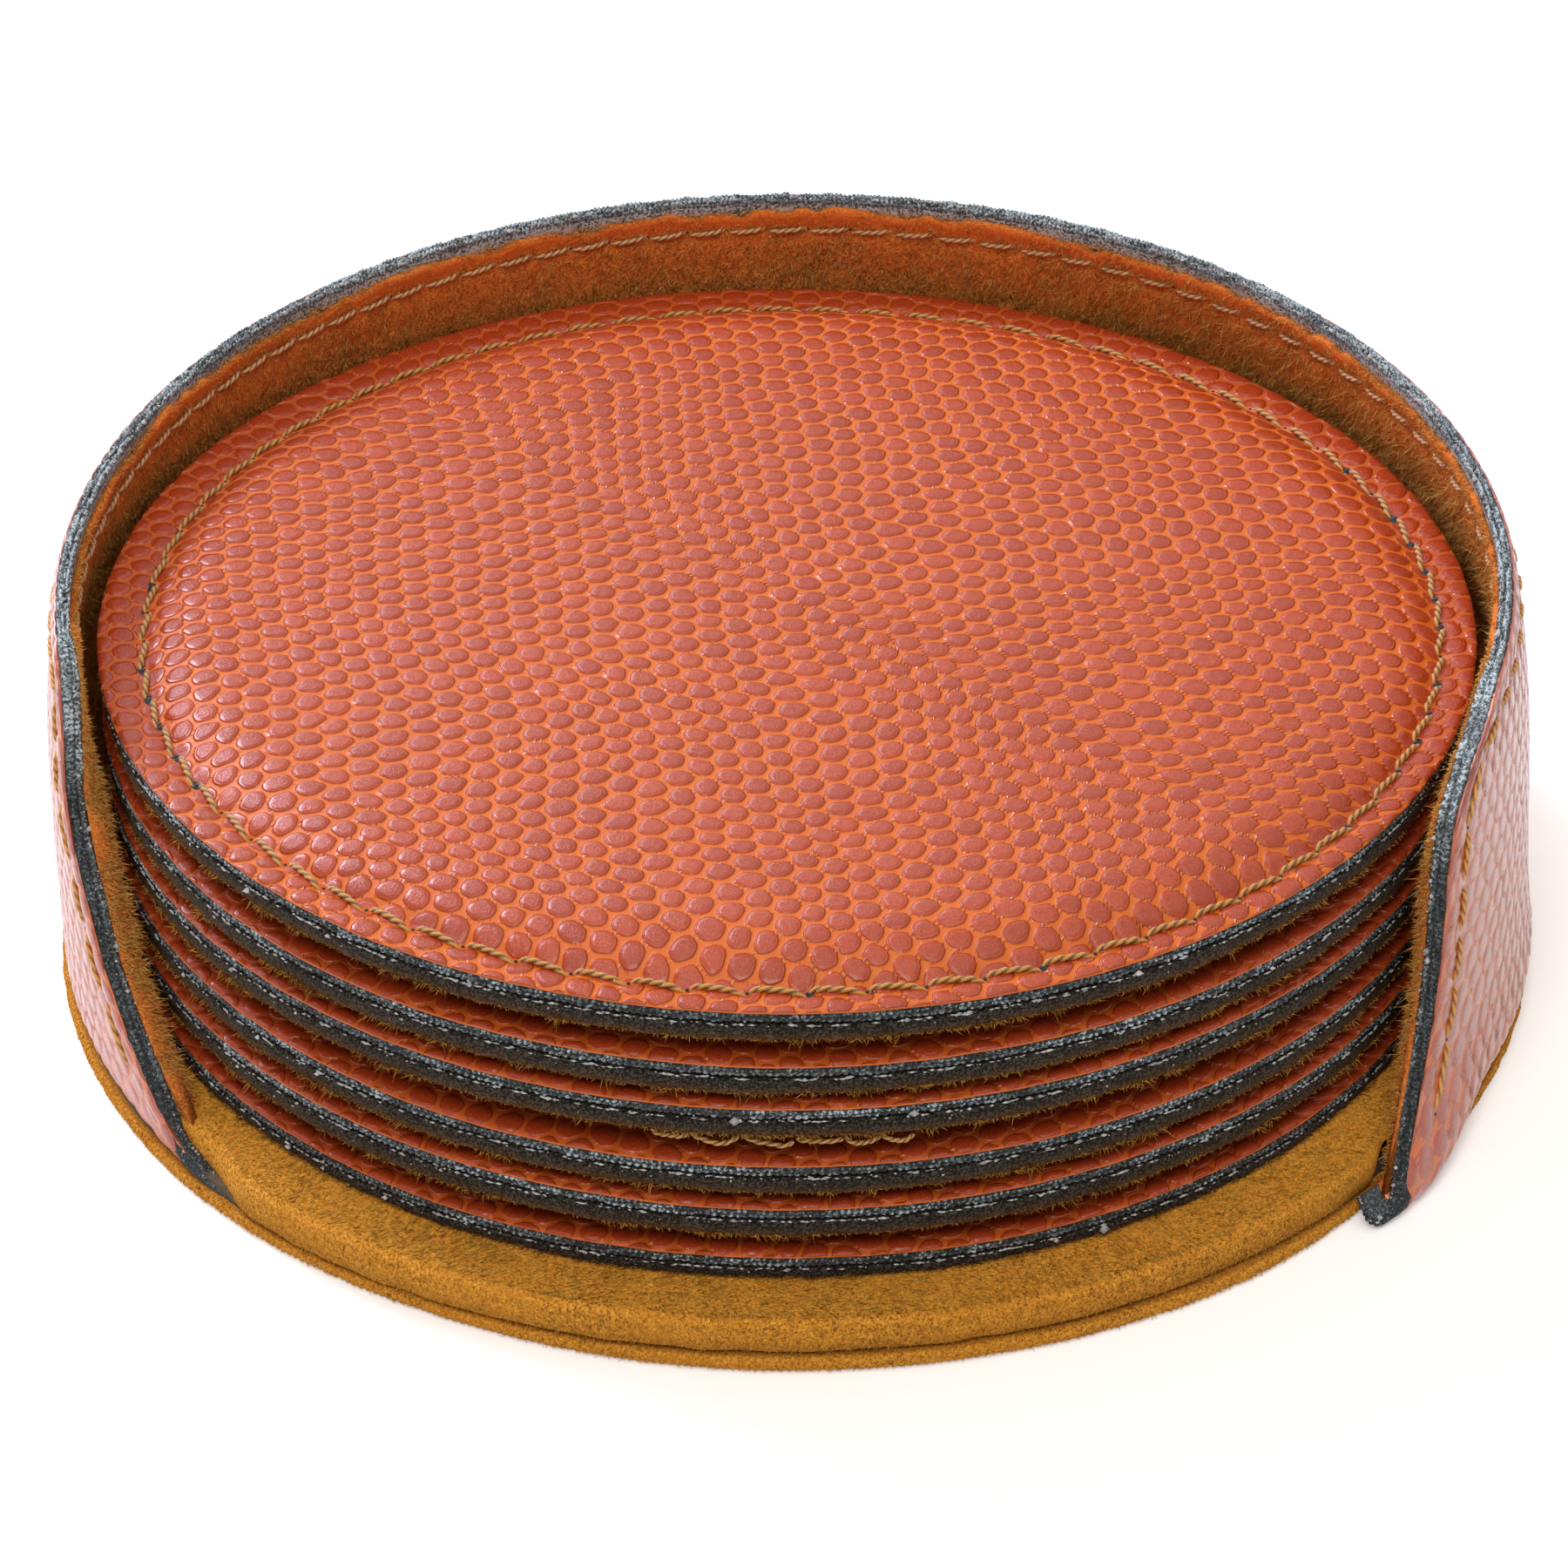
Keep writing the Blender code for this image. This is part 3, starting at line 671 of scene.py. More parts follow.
def leather_top(coaster):
    x, y = disc_places(TOP_CELLS)
    x, y = x * COASTER_R, y * COASTER_R
    c, s = math.cos(coaster.turn), math.sin(coaster.turn)
    inside, tint = pebbles(c * x - s * y, s * x + c * y, coaster.seed)
    tint = margin_painted_shade(coaster, x, y, tint)
    z = coaster.top(x, y) - grain_drop(inside)
    verts = [np.stack([x, y, z], -1)]
    flat = np.stack([x, y], -1) / COASTER_R
    faces = grid(TOP_CELLS + 1, TOP_CELLS + 1)[0]
    groups = [(faces, 0.5 + TOP_MAP_R * flat[faces])]
    loop = square_loop(TOP_CELLS)
    ring = len(loop)
    way, ahead = flat[loop], np.roll(flat[loop], -1, axis=0)
    rag = 0.03 * noise(np.arange(ring) / 5.0, 0.0, coaster.seed + 6)
    floor = KNIT_TOP + coaster.curl(x[loop], y[loop])
    past = loop
    for k, (out, share) in enumerate(((0.03, 0.75), (0.04, 0.35), (0.0, 0.0))):
        grow = (COASTER_R + out + rag) / COASTER_R
        level = floor + (z[loop] - floor) * share
        verts.append(np.stack([x[loop] * grow, y[loop] * grow, level], -1))
        now = len(x) + ring * k + np.arange(ring)
        faces = np.stack([np.roll(past, -1), past, now, np.roll(now, -1)], -1)
        inner, outer = TOP_MAP_R + EDGE_MAP * k, TOP_MAP_R + EDGE_MAP * (k + 1)
        groups.append((faces, 0.5 + np.stack([ahead * inner, way * inner, way * outer, ahead * outer], 1)))
        past = now
    groups.append(hidden(past[::-1]))
    piece = coaster.piece("leather_pad")
    piece.add(np.concatenate(verts), groups, pebble=np.append(inside, np.full(3 * ring, EDGE_PEBBLE)),
              tint=np.append(tint, np.full(3 * ring, EDGE_TINT)))
    body = coaster.body
    obj = piece.make(LEATHER, body, "leatherette", f"{body}_leather_face", f"{body}_pad")


KNIT_COLUMNS = 2880
KNIT_ROWS = 13
LOOPS = 720
FLECKS = 760
DASHES = 0.80
GLUE_STRETCH = 1.2
# Grains of glue on the cut edges: azimuth, height and size, by coaster
GLUE = {
    6: ((-38, 0.5, 0.15), (-24.8, 0.8, 0.22), (27.7, 0.8, 0.21), (9.0, 0.85, 0.13), (-47, 0.4, 0.22),
        (-55, 0.5, 0.12)),
    5: ((-31, 0.5, 0.13), (41.0, 0.9, 0.15), (-6.0, 0.9, 0.10), (-52, 0.4, 0.14), (-45, 0.6, 0.10)),
    4: ((-4.0, 0.75, 0.27), (9.7, 0.95, 0.25), (14.0, 0.8, 0.11), (-50.0, 0.6, 0.18), (-18.0, 0.8, 0.12),
        (-42, 0.5, 0.12)),
    3: ((-40.0, 0.6, 0.13), (33.0, 0.6, 0.15), (12.0, 0.4, 0.11), (-58, 0.5, 0.20), (-47, 0.6, 0.16),
        (-51, 0.5, 0.12)),
    2: ((35.0, 0.8, 0.15), (20.0, 0.7, 0.11), (-28.0, 0.6, 0.13), (-50, 0.5, 0.15), (-43, 0.4, 0.10)),
    1: ((25.6, 0.45, 0.32), (21.5, 0.6, 0.17), (-33.5, 0.5, 0.18), (-30.0, 0.5, 0.11), (-44, 0.5, 0.22),
        (-40, 0.4, 0.12)),
}


def knit_ring(coaster):
    """A knitted ply, cut to two ribbed courses of loops, with pale flecks and grains of glue."""
    rng = np.random.default_rng(coaster.seed + 1)
    share = np.linspace(0.0, 1.0, KNIT_ROWS)
    column = np.arange(KNIT_COLUMNS)
    phase = math.pi * LOOPS * column / KNIT_COLUMNS
    bead = 0.15 * (np.abs(np.sin(2 * math.pi * share)) ** 0.6 - 1) - 0.30 * ease(share, 0.26, 0.10)
    lower = share < 0.5
    ribs = np.where(lower[:, None], np.abs(np.sin(phase * 0.83 + 0.4)), np.abs(np.sin(phase)))
    rough = noise(column[None] / 9.0, share[:, None] * 7, coaster.seed + 2)
    out = COASTER_R - 0.06 + (bead - 0.06 * lower)[:, None] + 0.15 * (ribs - 0.6) + 0.09 * rough
    height = SUEDE_TOP + (KNIT_TOP - SUEDE_TOP) * share[:, None]
    height = height + 0.04 * noise(column[None] / 14.0, 3.0, coaster.seed)
    verts = coaster.bent(polar(360.0 * column / KNIT_COLUMNS, out, height))
    inner = verts[[-1, 0]] * [0.94, 0.94, 1.0]
    verts = np.concatenate([verts, inner]).reshape(-1, 3)
    rows = len(share) + 2
    faces, places = grid(rows, KNIT_COLUMNS, wrap=True, bands=24, rect=KNIT_RECT)
    last = (rows - 1) * KNIT_COLUMNS + column
    close = np.stack([last, np.roll(last, -1), np.roll(column, -1), column], -1)
    # Painted highlight on the loops that stand out from the ribs and tufts, in patches; it goes into the pale
    # attribute
    patch = 0.45 + 0.55 * ease(noise(column / 40.0, 0.0, coaster.seed + 8), -0.4, 0.6)
    tuft = ease(noise(column[None] / 1.7, share[:, None] * 9, coaster.seed + 12), 0.15, 0.75)
    loop = np.maximum(ease(ribs + 0.7 * rough, 0.92, 1.25), tuft) * ease(bead, -0.13, -0.03)[:, None] * patch
    unseen = np.zeros(2 * KNIT_COLUMNS)
    piece = coaster.piece("knit_edge")
    piece.add(verts, [(faces, places), hidden(close)], pale=np.append(0.90 * loop.ravel(), unseen),
              ply=np.append(np.repeat(0.55 * lower, KNIT_COLUMNS), unseen))
    at = 360.0 * rng.random(FLECKS)
    dash = rng.random(FLECKS) < DASHES
    level = np.where(dash, rng.normal(SUEDE_TOP + 0.03, 0.04, FLECKS), rng.uniform(0.15, 1.5, FLECKS))
    size = np.where(dash, 0.040 + 0.045 * rng.random(FLECKS), 0.03 + 0.05 * rng.random(FLECKS))
    stretch = np.where(dash, 1.5 + 3.0 * rng.random(FLECKS), 1.0)
    glue = np.array(GLUE[coaster.number])
    at, level, size = (np.append(a, b) for a, b in zip((at, level, size), glue.T))
    root = coaster.bent(polar(at, COASTER_R - 0.05, level))
    lumps(piece, root, size, rng, at, np.append(stretch, np.full(len(glue), GLUE_STRETCH)))
    piece.make(KNIT, coaster.body, "knit", f"{coaster.body}_knit_backing")


SUEDE_COLUMNS = 960
SUEDE_HAIRS = 6200
SUEDE_DROOP = 0.38


def suede_disc(coaster):
    """The suede ply: its cut backing shows dark, over a hanging golden fringe of nap."""
    rng = np.random.default_rng(coaster.seed + 2)
    droop = 0.0 if coaster.number == 1 else SUEDE_DROOP
    column = np.arange(SUEDE_COLUMNS)
    azimuth = 360.0 * column / SUEDE_COLUMNS
    # Out from the edge, height, and how dark it is as a cut backing
    section = [(-2.5, SUEDE_TOP, 1.0), (-0.16, SUEDE_TOP, 1.0), (0.0, 0.70, 1.0), (0.03, 0.46, 1.0),
               (-0.03, 0.26, 1.0), (-0.02, 0.16 - droop, 0.7), (-0.12, 0.02 - droop, 0.0),
               (-0.55, -0.5 * droop, 0.0), (-2.5, 0.0, 0.0), (-6.0, 0.0, 0.0), (-15.0, 0.0, 0.0),
               (-28.0, 0.0, 0.0), (-40.0, 0.0, 0.0)]
    rag = 0.08 * noise(column / 2.0, 0.0, coaster.seed + 3)
    rag = rag + 0.07 * noise(column / 17.0, 4.0, coaster.seed + 3)
    rings = []
    for k, (out, level, _) in enumerate(section):
        loose = rag if 0 < k < 7 else 0.0
        rings.append(coaster.bent(polar(azimuth, COASTER_R - 0.08 + out + loose, level)))
    rows = len(section)
    faces, _ = grid(rows, SUEDE_COLUMNS, wrap=True)
    reach = np.concatenate([np.linspace(0.47, 0.40, rows - 4), [0.36, 0.28, 0.16, 0.06]])
    flat = ring_map(azimuth, reach, STRIP_RECT[3])
    inner = ((rows - 1) * SUEDE_COLUMNS + column)[None]
    groups = [(faces, flat[faces]), (inner, flat[inner]), hidden(column[::-1])]
    piece = coaster.piece("suede")
    piece.add(np.concatenate(rings), groups, cut=np.repeat([cut for _, _, cut in section], SUEDE_COLUMNS))
    count = SUEDE_HAIRS
    at = 360.0 * rng.random(count)
    clump = ease(noise(at / 1.6, 0.0, coaster.seed + 4), -0.3, 0.7)
    radius = COASTER_R - 0.06 - 0.20 * rng.random(count)
    root = coaster.bent(polar(at, radius, 0.04 - droop + 0.16 * rng.random(count) ** 2))
    down = rng.normal(-0.35 if droop else 0.1, 0.45, count)
    way = polar(at + rng.normal(0, 45, count), 1.0, down)
    long = (0.14 + 0.22 * rng.random(count) + 0.45 * rng.random(count) ** 8) * (0.45 + 1.1 * clump)
    fibres(piece, root, way, long, width=0.058, seed=coaster.seed + 5, dark=0.3)
    piece.make(COASTER_SUEDE, coaster.body, "coaster_suede", f"{coaster.body}_suede_underside")


STITCH_STATIONS = 33
HOLE_SHADOW_R = 0.14
HOLE_SHADOW_SIDES = 8


def sew(piece, start, end, surface, normal, radius, proud, sink, slant, holes=True):
    """Twisted stitches between pairs of places; surface and normal take places to points and ways out."""
    run = np.linspace(0, 1, STITCH_STATIONS)[None, :, None]
    place = start[:, None] + (end - start)[:, None] * (0.03 + 0.94 * run)
    side = np.stack([-(end - start)[:, 1], (end - start)[:, 0]], -1)
    place = place + unit(side)[:, None] * slant * (0.5 - run) * 2
    points, out = surface(place), normal(place)
    arch = 1 - np.abs(2 * run - 1) ** 4
    points = points + out * (proud * arch - sink * (1 - arch))
    tangent = unit(np.gradient(points, axis=1))
    across = unit(np.cross(tangent, out))
    thick = np.broadcast_to(radius * (0.80 + 0.20 * arch[..., 0]), points.shape[:2])
    strands(piece, points, across, np.cross(across, tangent), thick)
    if holes:
        centre, way = surface(end[:, None])[:, 0], normal(end[:, None])[:, 0]
        lay = unit(np.cross(way, unit(end - start) @ np.eye(2, 3) + [0.0, 0.0, 0.01]))
        hole_shadow_lenses(piece, centre, way, lay)


def hole_shadow_lenses(piece, centres, out, lay):
    """Painted shadow in the needle holes: near-black low lenses that lie in the surface."""
    count = len(centres)
    turn = np.linspace(0, math.tau, HOLE_SHADOW_SIDES, endpoint=False)[None, :, None]
    ring = (lay[:, None] * np.cos(turn) + np.cross(out, lay)[:, None] * np.sin(turn)) * HOLE_SHADOW_R
    low = centres[:, None] + ring - out[:, None] * 0.25
    high = centres[:, None] + ring * 0.75 - out[:, None] * 0.02
    corner = np.arange(HOLE_SHADOW_SIDES)
    caps = np.array([corner[::-1], HOLE_SHADOW_SIDES + corner])
    groups = []
    for faces in (grid(2, HOLE_SHADOW_SIDES, wrap=True)[0], caps):
        faces = copies(faces, 2 * HOLE_SHADOW_SIDES, count)
        groups.append((faces, spot_map(faces, HOLE_SHADOW_AT, 0.02)))
    piece.add(np.concatenate([low, high], 1).reshape(-1, 3), groups, hole=1.0)


def seam(coaster):
    step = math.tau / STITCHES
    hole = coaster.first_hole + step * np.arange(STITCHES)
    wobble = 0.10 * noise(np.arange(STITCHES) * 0.37, 0.0, coaster.seed + 7)

    def at(angle, out):
        return coaster.ring + (SEAM_R + out)[:, None] * np.stack([np.cos(angle), np.sin(angle)], -1)

    def surface(place):
        x, y = place[..., 0], place[..., 1]
        return np.stack([x, y, coaster.top(x, y) + coaster.hole_pull(x, y)], -1)

    def normal(place):
        return np.broadcast_to([0.0, 0.0, 1.0], (*place.shape[:-1], 3))

    piece = coaster.piece("stitches")
    ends = at(hole, wobble), at(hole + step, np.roll(wobble, -1))
    sew(piece, *ends, surface, normal, THREAD_R, proud=0.15, sink=0.36, slant=0.26)
    if coaster.number == LOOSE_BOBBIN:
        bobbin(coaster, piece)
    piece.make(THREAD, coaster.body, "thread", f"{coaster.body}_seam_thread")


BOBBIN_HOLES = (-10.6, -7.6, -3.6, 0.6, 4.4, 7.2, 9.8)
BOBBIN_R = 0.17


def bobbin(coaster, piece):
    """Loose loops of the under thread, which hang out below the front edge."""
    place = polar(np.array(BOBBIN_HOLES), COASTER_R - 0.42, 0.0)[:, :2]

    def surface(spot):
        x, y = spot[..., 0], spot[..., 1]
        level = -0.98 + coaster.curl(x, y) - 0.22 * noise(x / 1.4, 7.0, 61)
        return np.stack([x, y, level], -1)

    def normal(spot):
        return np.broadcast_to([0.0, -0.45, -0.89], (*spot.shape[:-1], 3))

    sew(piece, place[:-1], place[1:], surface, normal, BOBBIN_R,
        proud=0.10, sink=0.22, slant=0.12, holes=False)


for one in SET:
    leather_top(one)
    knit_ring(one)
    suede_disc(one)
    seam(one)


# Holder wall: u runs from -1 at the right end to 1 at the left, v is mm up from the foot


LEVELS = np.arange(-7.0, 30.0, 0.1)
SMOOTH_OVER = 14


def end_line(azimuths):
    """Azimuths of a cut end at each of LEVELS, with the line between its given places smoothed."""
    fine = np.interp(LEVELS, [row[0] for row in END_TABLE], azimuths)
    weight = np.hanning(2 * SMOOTH_OVER + 1)
    return np.convolve(np.pad(fine, SMOOTH_OVER, "edge"), weight / weight.sum(), "valid")


LEFT_LINE, RIGHT_LINE = (end_line([row[k] for row in END_TABLE]) for k in (1, 2))


def wall_azimuth(u, v):
    end = np.where(u > 0, np.interp(v, LEVELS, LEFT_LINE), np.interp(v, LEVELS, RIGHT_LINE))
    return 180.0 + u * (180.0 - end)


def rim_level(u):
    """How far up the rim is, without its rounded corners."""
    return WALL_H - RIM_DIP * u**2


def wall_top(u):
    """How far up the wall goes, with its corners rounded off."""
    left = np.clip(from_end(u), 0.0, CORNER_R)
    return rim_level(u) - CORNER_R + np.sqrt(np.maximum(CORNER_R**2 - (CORNER_R - left) ** 2, 0.0))


def from_end(u):
    return (1 - np.abs(u)) * HALF_ARC


def from_border(u, v):
    """Distance in from the rim or the nearer end, in mm."""
    return np.minimum(rim_level(u) - v, from_end(u))


def hooked(u):
    """1 at the right end, where the fold of the hem shows as a hook."""
    return ease(from_end(u), 14.0, 2.0) * (np.asarray(u) < 0)


def hem_low(u):
    """Where the turned-in hem ends; it is longer where it curls up into the hook."""
    return -FOLD_ARC - HEM_FLAT - HOOK_EXTRA * hooked(u)


def wall_section(u, v):
    """Radius and height of the wall's outer face."""
    u = np.asarray(u)
    rise = np.clip(v / rim_level(u), 0.0, 1.0)
    turned = np.sin(np.radians(wall_azimuth(u, v)))
    right, left = np.maximum(turned, 0.0) ** 2, np.minimum(turned, 0.0) ** 2
    radius = RIM_R + (LEAN + SIDE_BIAS * turned) * (1 - rise**3) + FLARE * np.abs(u) ** 6 * rise
    radius = radius + RIGHT_OUT * right * (1 - rise) ** 4 - (RIGHT_IN * right + LEFT_IN * left) * rise
    radius = radius - RIGHT_WAIST * right * rise * (1 - rise) ** 2
    turn = np.pi / 2 * (1 + np.clip(v, -FOLD_ARC, 0.0) / FOLD_ARC)
    flat = np.maximum(-v - FOLD_ARC, 0.0)
    hook, left_foot = hooked(u), ease(from_end(u), 9.0, 0.5) * (u > 0)
    curl = np.minimum(flat / HOOK_R, HOOK_TURN)
    straight = flat - HOOK_R * curl
    hook_in = HOOK_R * np.sin(curl) + straight * np.cos(curl)
    hook_up = HOOK_R * (1 - np.cos(curl)) + straight * np.sin(curl)
    tight = 1 - FOLD_TIGHT * np.maximum(hook, left_foot)
    radius = radius - FOLD_R * (1 - np.sin(turn)) * tight - flat - (hook_in - flat) * hook
    height = FOOT_Z + np.maximum(v, 0.0) - FOLD_R * np.cos(turn) + hook_up * hook + RIM_TILT * turned * rise
    low, lowest = ease(v, 10.0, -0.5), ease(v, 5.0, -1.5)
    sag = HOOK_SAG * (0.30 * ease(-u, 0.15, 0.6) + 0.70 * hook)
    sag = sag + LEFT_SAG * (0.6 * ease(u, 0.15, 0.6) + 0.4 * left_foot)
    return radius + HOOK_KICK * hook * lowest, height - sag * low


def wall_frame(u, v):
    """Points, and outward ways, on the wall's outer face."""
    step = 0.02
    r0, z0 = wall_section(u, v - step)
    r1, z1 = wall_section(u, v + step)
    radius, height = wall_section(u, v)
    dr, dz = r1 - r0, z1 - z0
    size = np.maximum(np.hypot(dr, dz), 1e-9)
    azimuth = wall_azimuth(u, v)
    return polar(azimuth, radius, height), polar(azimuth, dz / size, -dr / size)


def on_wall(u, v, depth):
    points, out = wall_frame(u, v)
    return points - out * np.asarray(depth)[..., None]


def swollen(u, v):
    """How much the cut plies spread at the two ends."""
    return PLY_SWELL * ease(from_end(u), 4.0, 0.3) * ease(v, 0.0, 2.0)


def sheet(piece, u, v, face_depth, back_depth, every, **values):
    """A closed sheet: a fine face and a plain back on every few rows, over a grid of places."""
    rows, cols = u.shape
    keep = sorted(set(range(0, rows, every)) | {rows - 1})
    face = on_wall(u, v, face_depth)
    back = on_wall(u[keep], v[keep], np.broadcast_to(back_depth, u.shape)[keep])
    start, last = rows * cols, (len(keep) - 1) * cols
    c = np.arange(cols - 1)
    front_faces = grid(rows, cols, bands=3, rect=STRIP_RECT)
    back_faces = grid(len(keep), cols, start=start)[0][:, ::-1]
    foot = np.stack([c + 1, c, start + c, start + c + 1], -1)
    top = (rows - 1) * cols
    head = np.stack([top + c, top + c + 1, start + last + c + 1, start + last + c], -1)
    up, back_up = np.arange(rows) * cols, start + np.arange(len(keep)) * cols
    groups = [front_faces, hidden(back_faces), hidden(foot), hidden(head)]
    for k, (row, next_row) in enumerate(zip(keep[:-1], keep[1:])):
        first = np.concatenate([up[row : next_row + 1], back_up[[k + 1, k]]])
        groups += [hidden(first), hidden(first[::-1] + cols - 1)]
    spare = {key: np.append(np.ravel(found), np.full(back.size // 3, fill))
             for key, (found, fill) in values.items()}
    piece.add(np.concatenate([face.reshape(-1, 3), back.reshape(-1, 3)]), groups, **spare)


def wall_leather():
    columns, upright, fold = 700, 88, 18
    line = np.linspace(1, -1, columns + 1)
    level = np.concatenate([np.linspace(-1.0, -0.04, fold), np.linspace(0, 1, upright)])[:, None]
    v = level * np.where(level < 0, -hem_low(line), wall_top(line) - 0.22)
    # The leather stops short of the hem's ends, where the knit shows alone
    u = line * (1 - (0.12 + 1.3 * ease(v, 0.9, -1.2)) / HALF_ARC)
    inside, tint = pebbles(np.radians(wall_azimuth(u, v)) * LEATHER_ARC_R, v, 500)
    border = from_border(u, v)
    depth = grain_drop(inside) + 0.10 * bell(border - STITCH_INSET, 0.6)
    depth = depth + (0.16 + 0.10 * ease(v, 3.0, -1.0)) * ease(border, 0.9, 0.1)
    piece = Piece("holder_wall_leather")
    sheet(piece, u, v, depth, back_depth=SKIN + 0.04, every=12, pebble=(inside, EDGE_PEBBLE),
          tint=(tint, EDGE_TINT))
    piece.make(WALL_LEATHER, "holder", "leatherette", "holder_wall_leather_face")


def border_path(step, inset=0.0, low=None):
    """Places (u, v) round the wall's free border, from the left hem to the right, and ways in from it."""
    limit = 1 - inset / HALF_ARC
    bend = np.linspace(0, math.pi / 2, max(4, int(CORNER_R * 1.57 / step)))
    reach = max(CORNER_R - inset, 0.4)
    top = WALL_H - RIM_DIP - inset - reach
    left, right = (np.arange(hem_low(end) if low is None else low, top, step) for end in (1.0, -1.0))
    corner_u = limit - reach * (1 - np.cos(bend)) / HALF_ARC
    corner_v = top + reach * np.sin(bend)
    run = np.arange(corner_u[-1] - step / HALF_ARC, -corner_u[-1], -step / HALF_ARC)
    ends = np.full(len(left), limit), np.full(len(right), -limit)
    u = np.concatenate([ends[0], corner_u, run, -corner_u[::-1], ends[1]])
    v = np.concatenate([left, corner_v, rim_level(run) - inset, corner_v[::-1], right[::-1]])
    du, dv = np.gradient(u * HALF_ARC), np.gradient(v)
    size = np.maximum(np.hypot(du, dv), 1e-9)
    return u, v, dv / size, -du / size


WALL_KNIT_ROWS = 15
WALL_GRAINS = 900
WALL_TUFTS = 5200
INNER_PLY = 0.6


def wall_knit():
    """The two cut plies that show all round the wall's border, from one hem to the other."""
    rng = np.random.default_rng(77)
    u, v, in_u, in_v = border_path(step=0.13)
    in_u, in_v = -np.abs(in_u) * np.sign(u), np.where(np.abs(in_u) > 0.999, 0.0, -np.abs(in_v))

    def at(inward, depth, pick=slice(None)):
        return on_wall(u[pick] + in_u[pick] * inward / HALF_ARC, v[pick] + in_v[pick] * inward, depth)

    count = len(u)
    run = np.arange(count)
    share = np.linspace(0.0, 1.0, WALL_KNIT_ROWS)
    inner = share > INNER_PLY
    across = np.where(inner, (share - INNER_PLY) / (1 - INNER_PLY), share / INNER_PLY)
    bead = 0.13 * (1 - np.abs(np.sin(math.pi * across)) ** 0.5)
    phase = math.pi * run / 2.9
    ribs = np.where(inner[:, None], np.abs(np.sin(phase * 0.9 + 0.6)), np.abs(np.sin(phase)))
    rough = noise(run[None] / 7.0, share[:, None] * 6, 78)
    cut_in = 0.02 + (bead + 0.04 * inner)[:, None] - 0.17 * (ribs - 0.6) - 0.14 * rough
    # How far in from the cut edge, and through the ply, each line of the section runs
    sides_in = [(1.9, 0.05), (1.0, -0.10)] + [(None, s) for s in share]
    sides_in += [(0.42, 1.0), (0.75, 1.0), (1.1, 1.0), (1.7, 0.95)]
    wide = (LINING_AT - SKIN + swollen(u, v)) * (1 - 0.78 * ease(-v, 0.8, 2.4))
    points = []
    for k, (inward, part) in enumerate(sides_in):
        inward = cut_in[k - 2] if inward is None else inward + 0.04 * rough[k % len(share)]
        depth = SKIN + 0.02 + wide * part + (0.05 * ribs[-1] if part == 1.0 else 0.0)
        depth = depth - (0.24 * ease(v, 0.9, -1.0) if 0 < k < 5 else 0.0)
        points.append(at(inward, depth))
    sides = len(sides_in)
    faces, places = grid(sides, count, bands=28, rect=KNIT_RECT)
    low, last = run[:-1], (sides - 1) * count + run[:-1]
    close = np.stack([last, last + 1, low + 1, low], -1)
    ends = np.array([np.arange(sides) * count, (np.arange(sides) * count + count - 1)[::-1]])
    patch = 0.50 + 0.50 * ease(noise(run / 46.0, 0.0, 79) + 0.5 * noise(run / 13.0, 1.0, 79), -0.5, 0.7)
    high, foot = ease(v, WALL_H - 11.0, WALL_H - 4.0), ease(v, 1.0, 7.0)
    # Painted light on the cut plies: paler in patches up near the rim, where light falls from above; lower
    # down they stay dim, the inner ply a little paler above the foot
    lit = (0.16 + 1.40 * high * patch) * np.where(inner[:, None], 1.0 + 1.2 * (1 - high) * foot, 1.0)
    loop = (0.30 + 0.70 * ease(ribs + 0.6 * rough, 0.5, 1.2)) * (0.25 + 0.75 * ease(bead, 0.09, 0.0)[:, None])
    inside = np.repeat((0.45 + 0.4 * ribs[-1:]) * lit[-1:], 4, 0)
    pale = np.concatenate([np.zeros((2, count)), loop * lit, inside])
    glue = ease(0.8 * noise(run / 9.0, 2.0, 79) + 0.8 * noise(run / 2.2, 3.0, 79), 0.25, 0.8) * high
    white = np.concatenate([np.zeros((sides - 3, count)), np.repeat(glue[None], 2, 0), np.zeros((1, count))])
    ply = np.concatenate([[0.0, 0.0], np.where(inner, 0.5, 0.0), [0.5] * 4])[:, None] * foot
    piece = Piece("holder_wall_knit_edge")
    piece.add(np.concatenate(points), [(faces, places), hidden(close), hidden(ends)], ply=ply.ravel(),
              pale=np.minimum(pale, 1.0).ravel(), speck=0.8 * white.ravel())
    pick = rng.integers(0, count, WALL_GRAINS)
    depth = SKIN + wide[pick] * np.clip(rng.normal(0.86, 0.12, WALL_GRAINS), 0.1, 1.0)
    size = 0.03 + 0.06 * rng.random(WALL_GRAINS) + 0.16 * rng.random(WALL_GRAINS) ** 8
    lumps(piece, at(0.0, depth, pick), size, rng)
    pick = rng.integers(0, count, WALL_TUFTS)
    depth = SKIN + 0.02 + wide[pick] * rng.random(WALL_TUFTS)
    root = at(0.1, depth, pick)
    way = unit(at(-0.2, depth, pick) - root) + rng.normal(0, 0.5, (WALL_TUFTS, 3))
    long = 0.16 + 0.16 * rng.random(WALL_TUFTS)
    fibres(piece, root, way, long, width=0.075, seed=80, bent=False, rect=TUFT_RECT)
    piece.make(KNIT, "holder", "knit", "holder_wall_knit_backing")


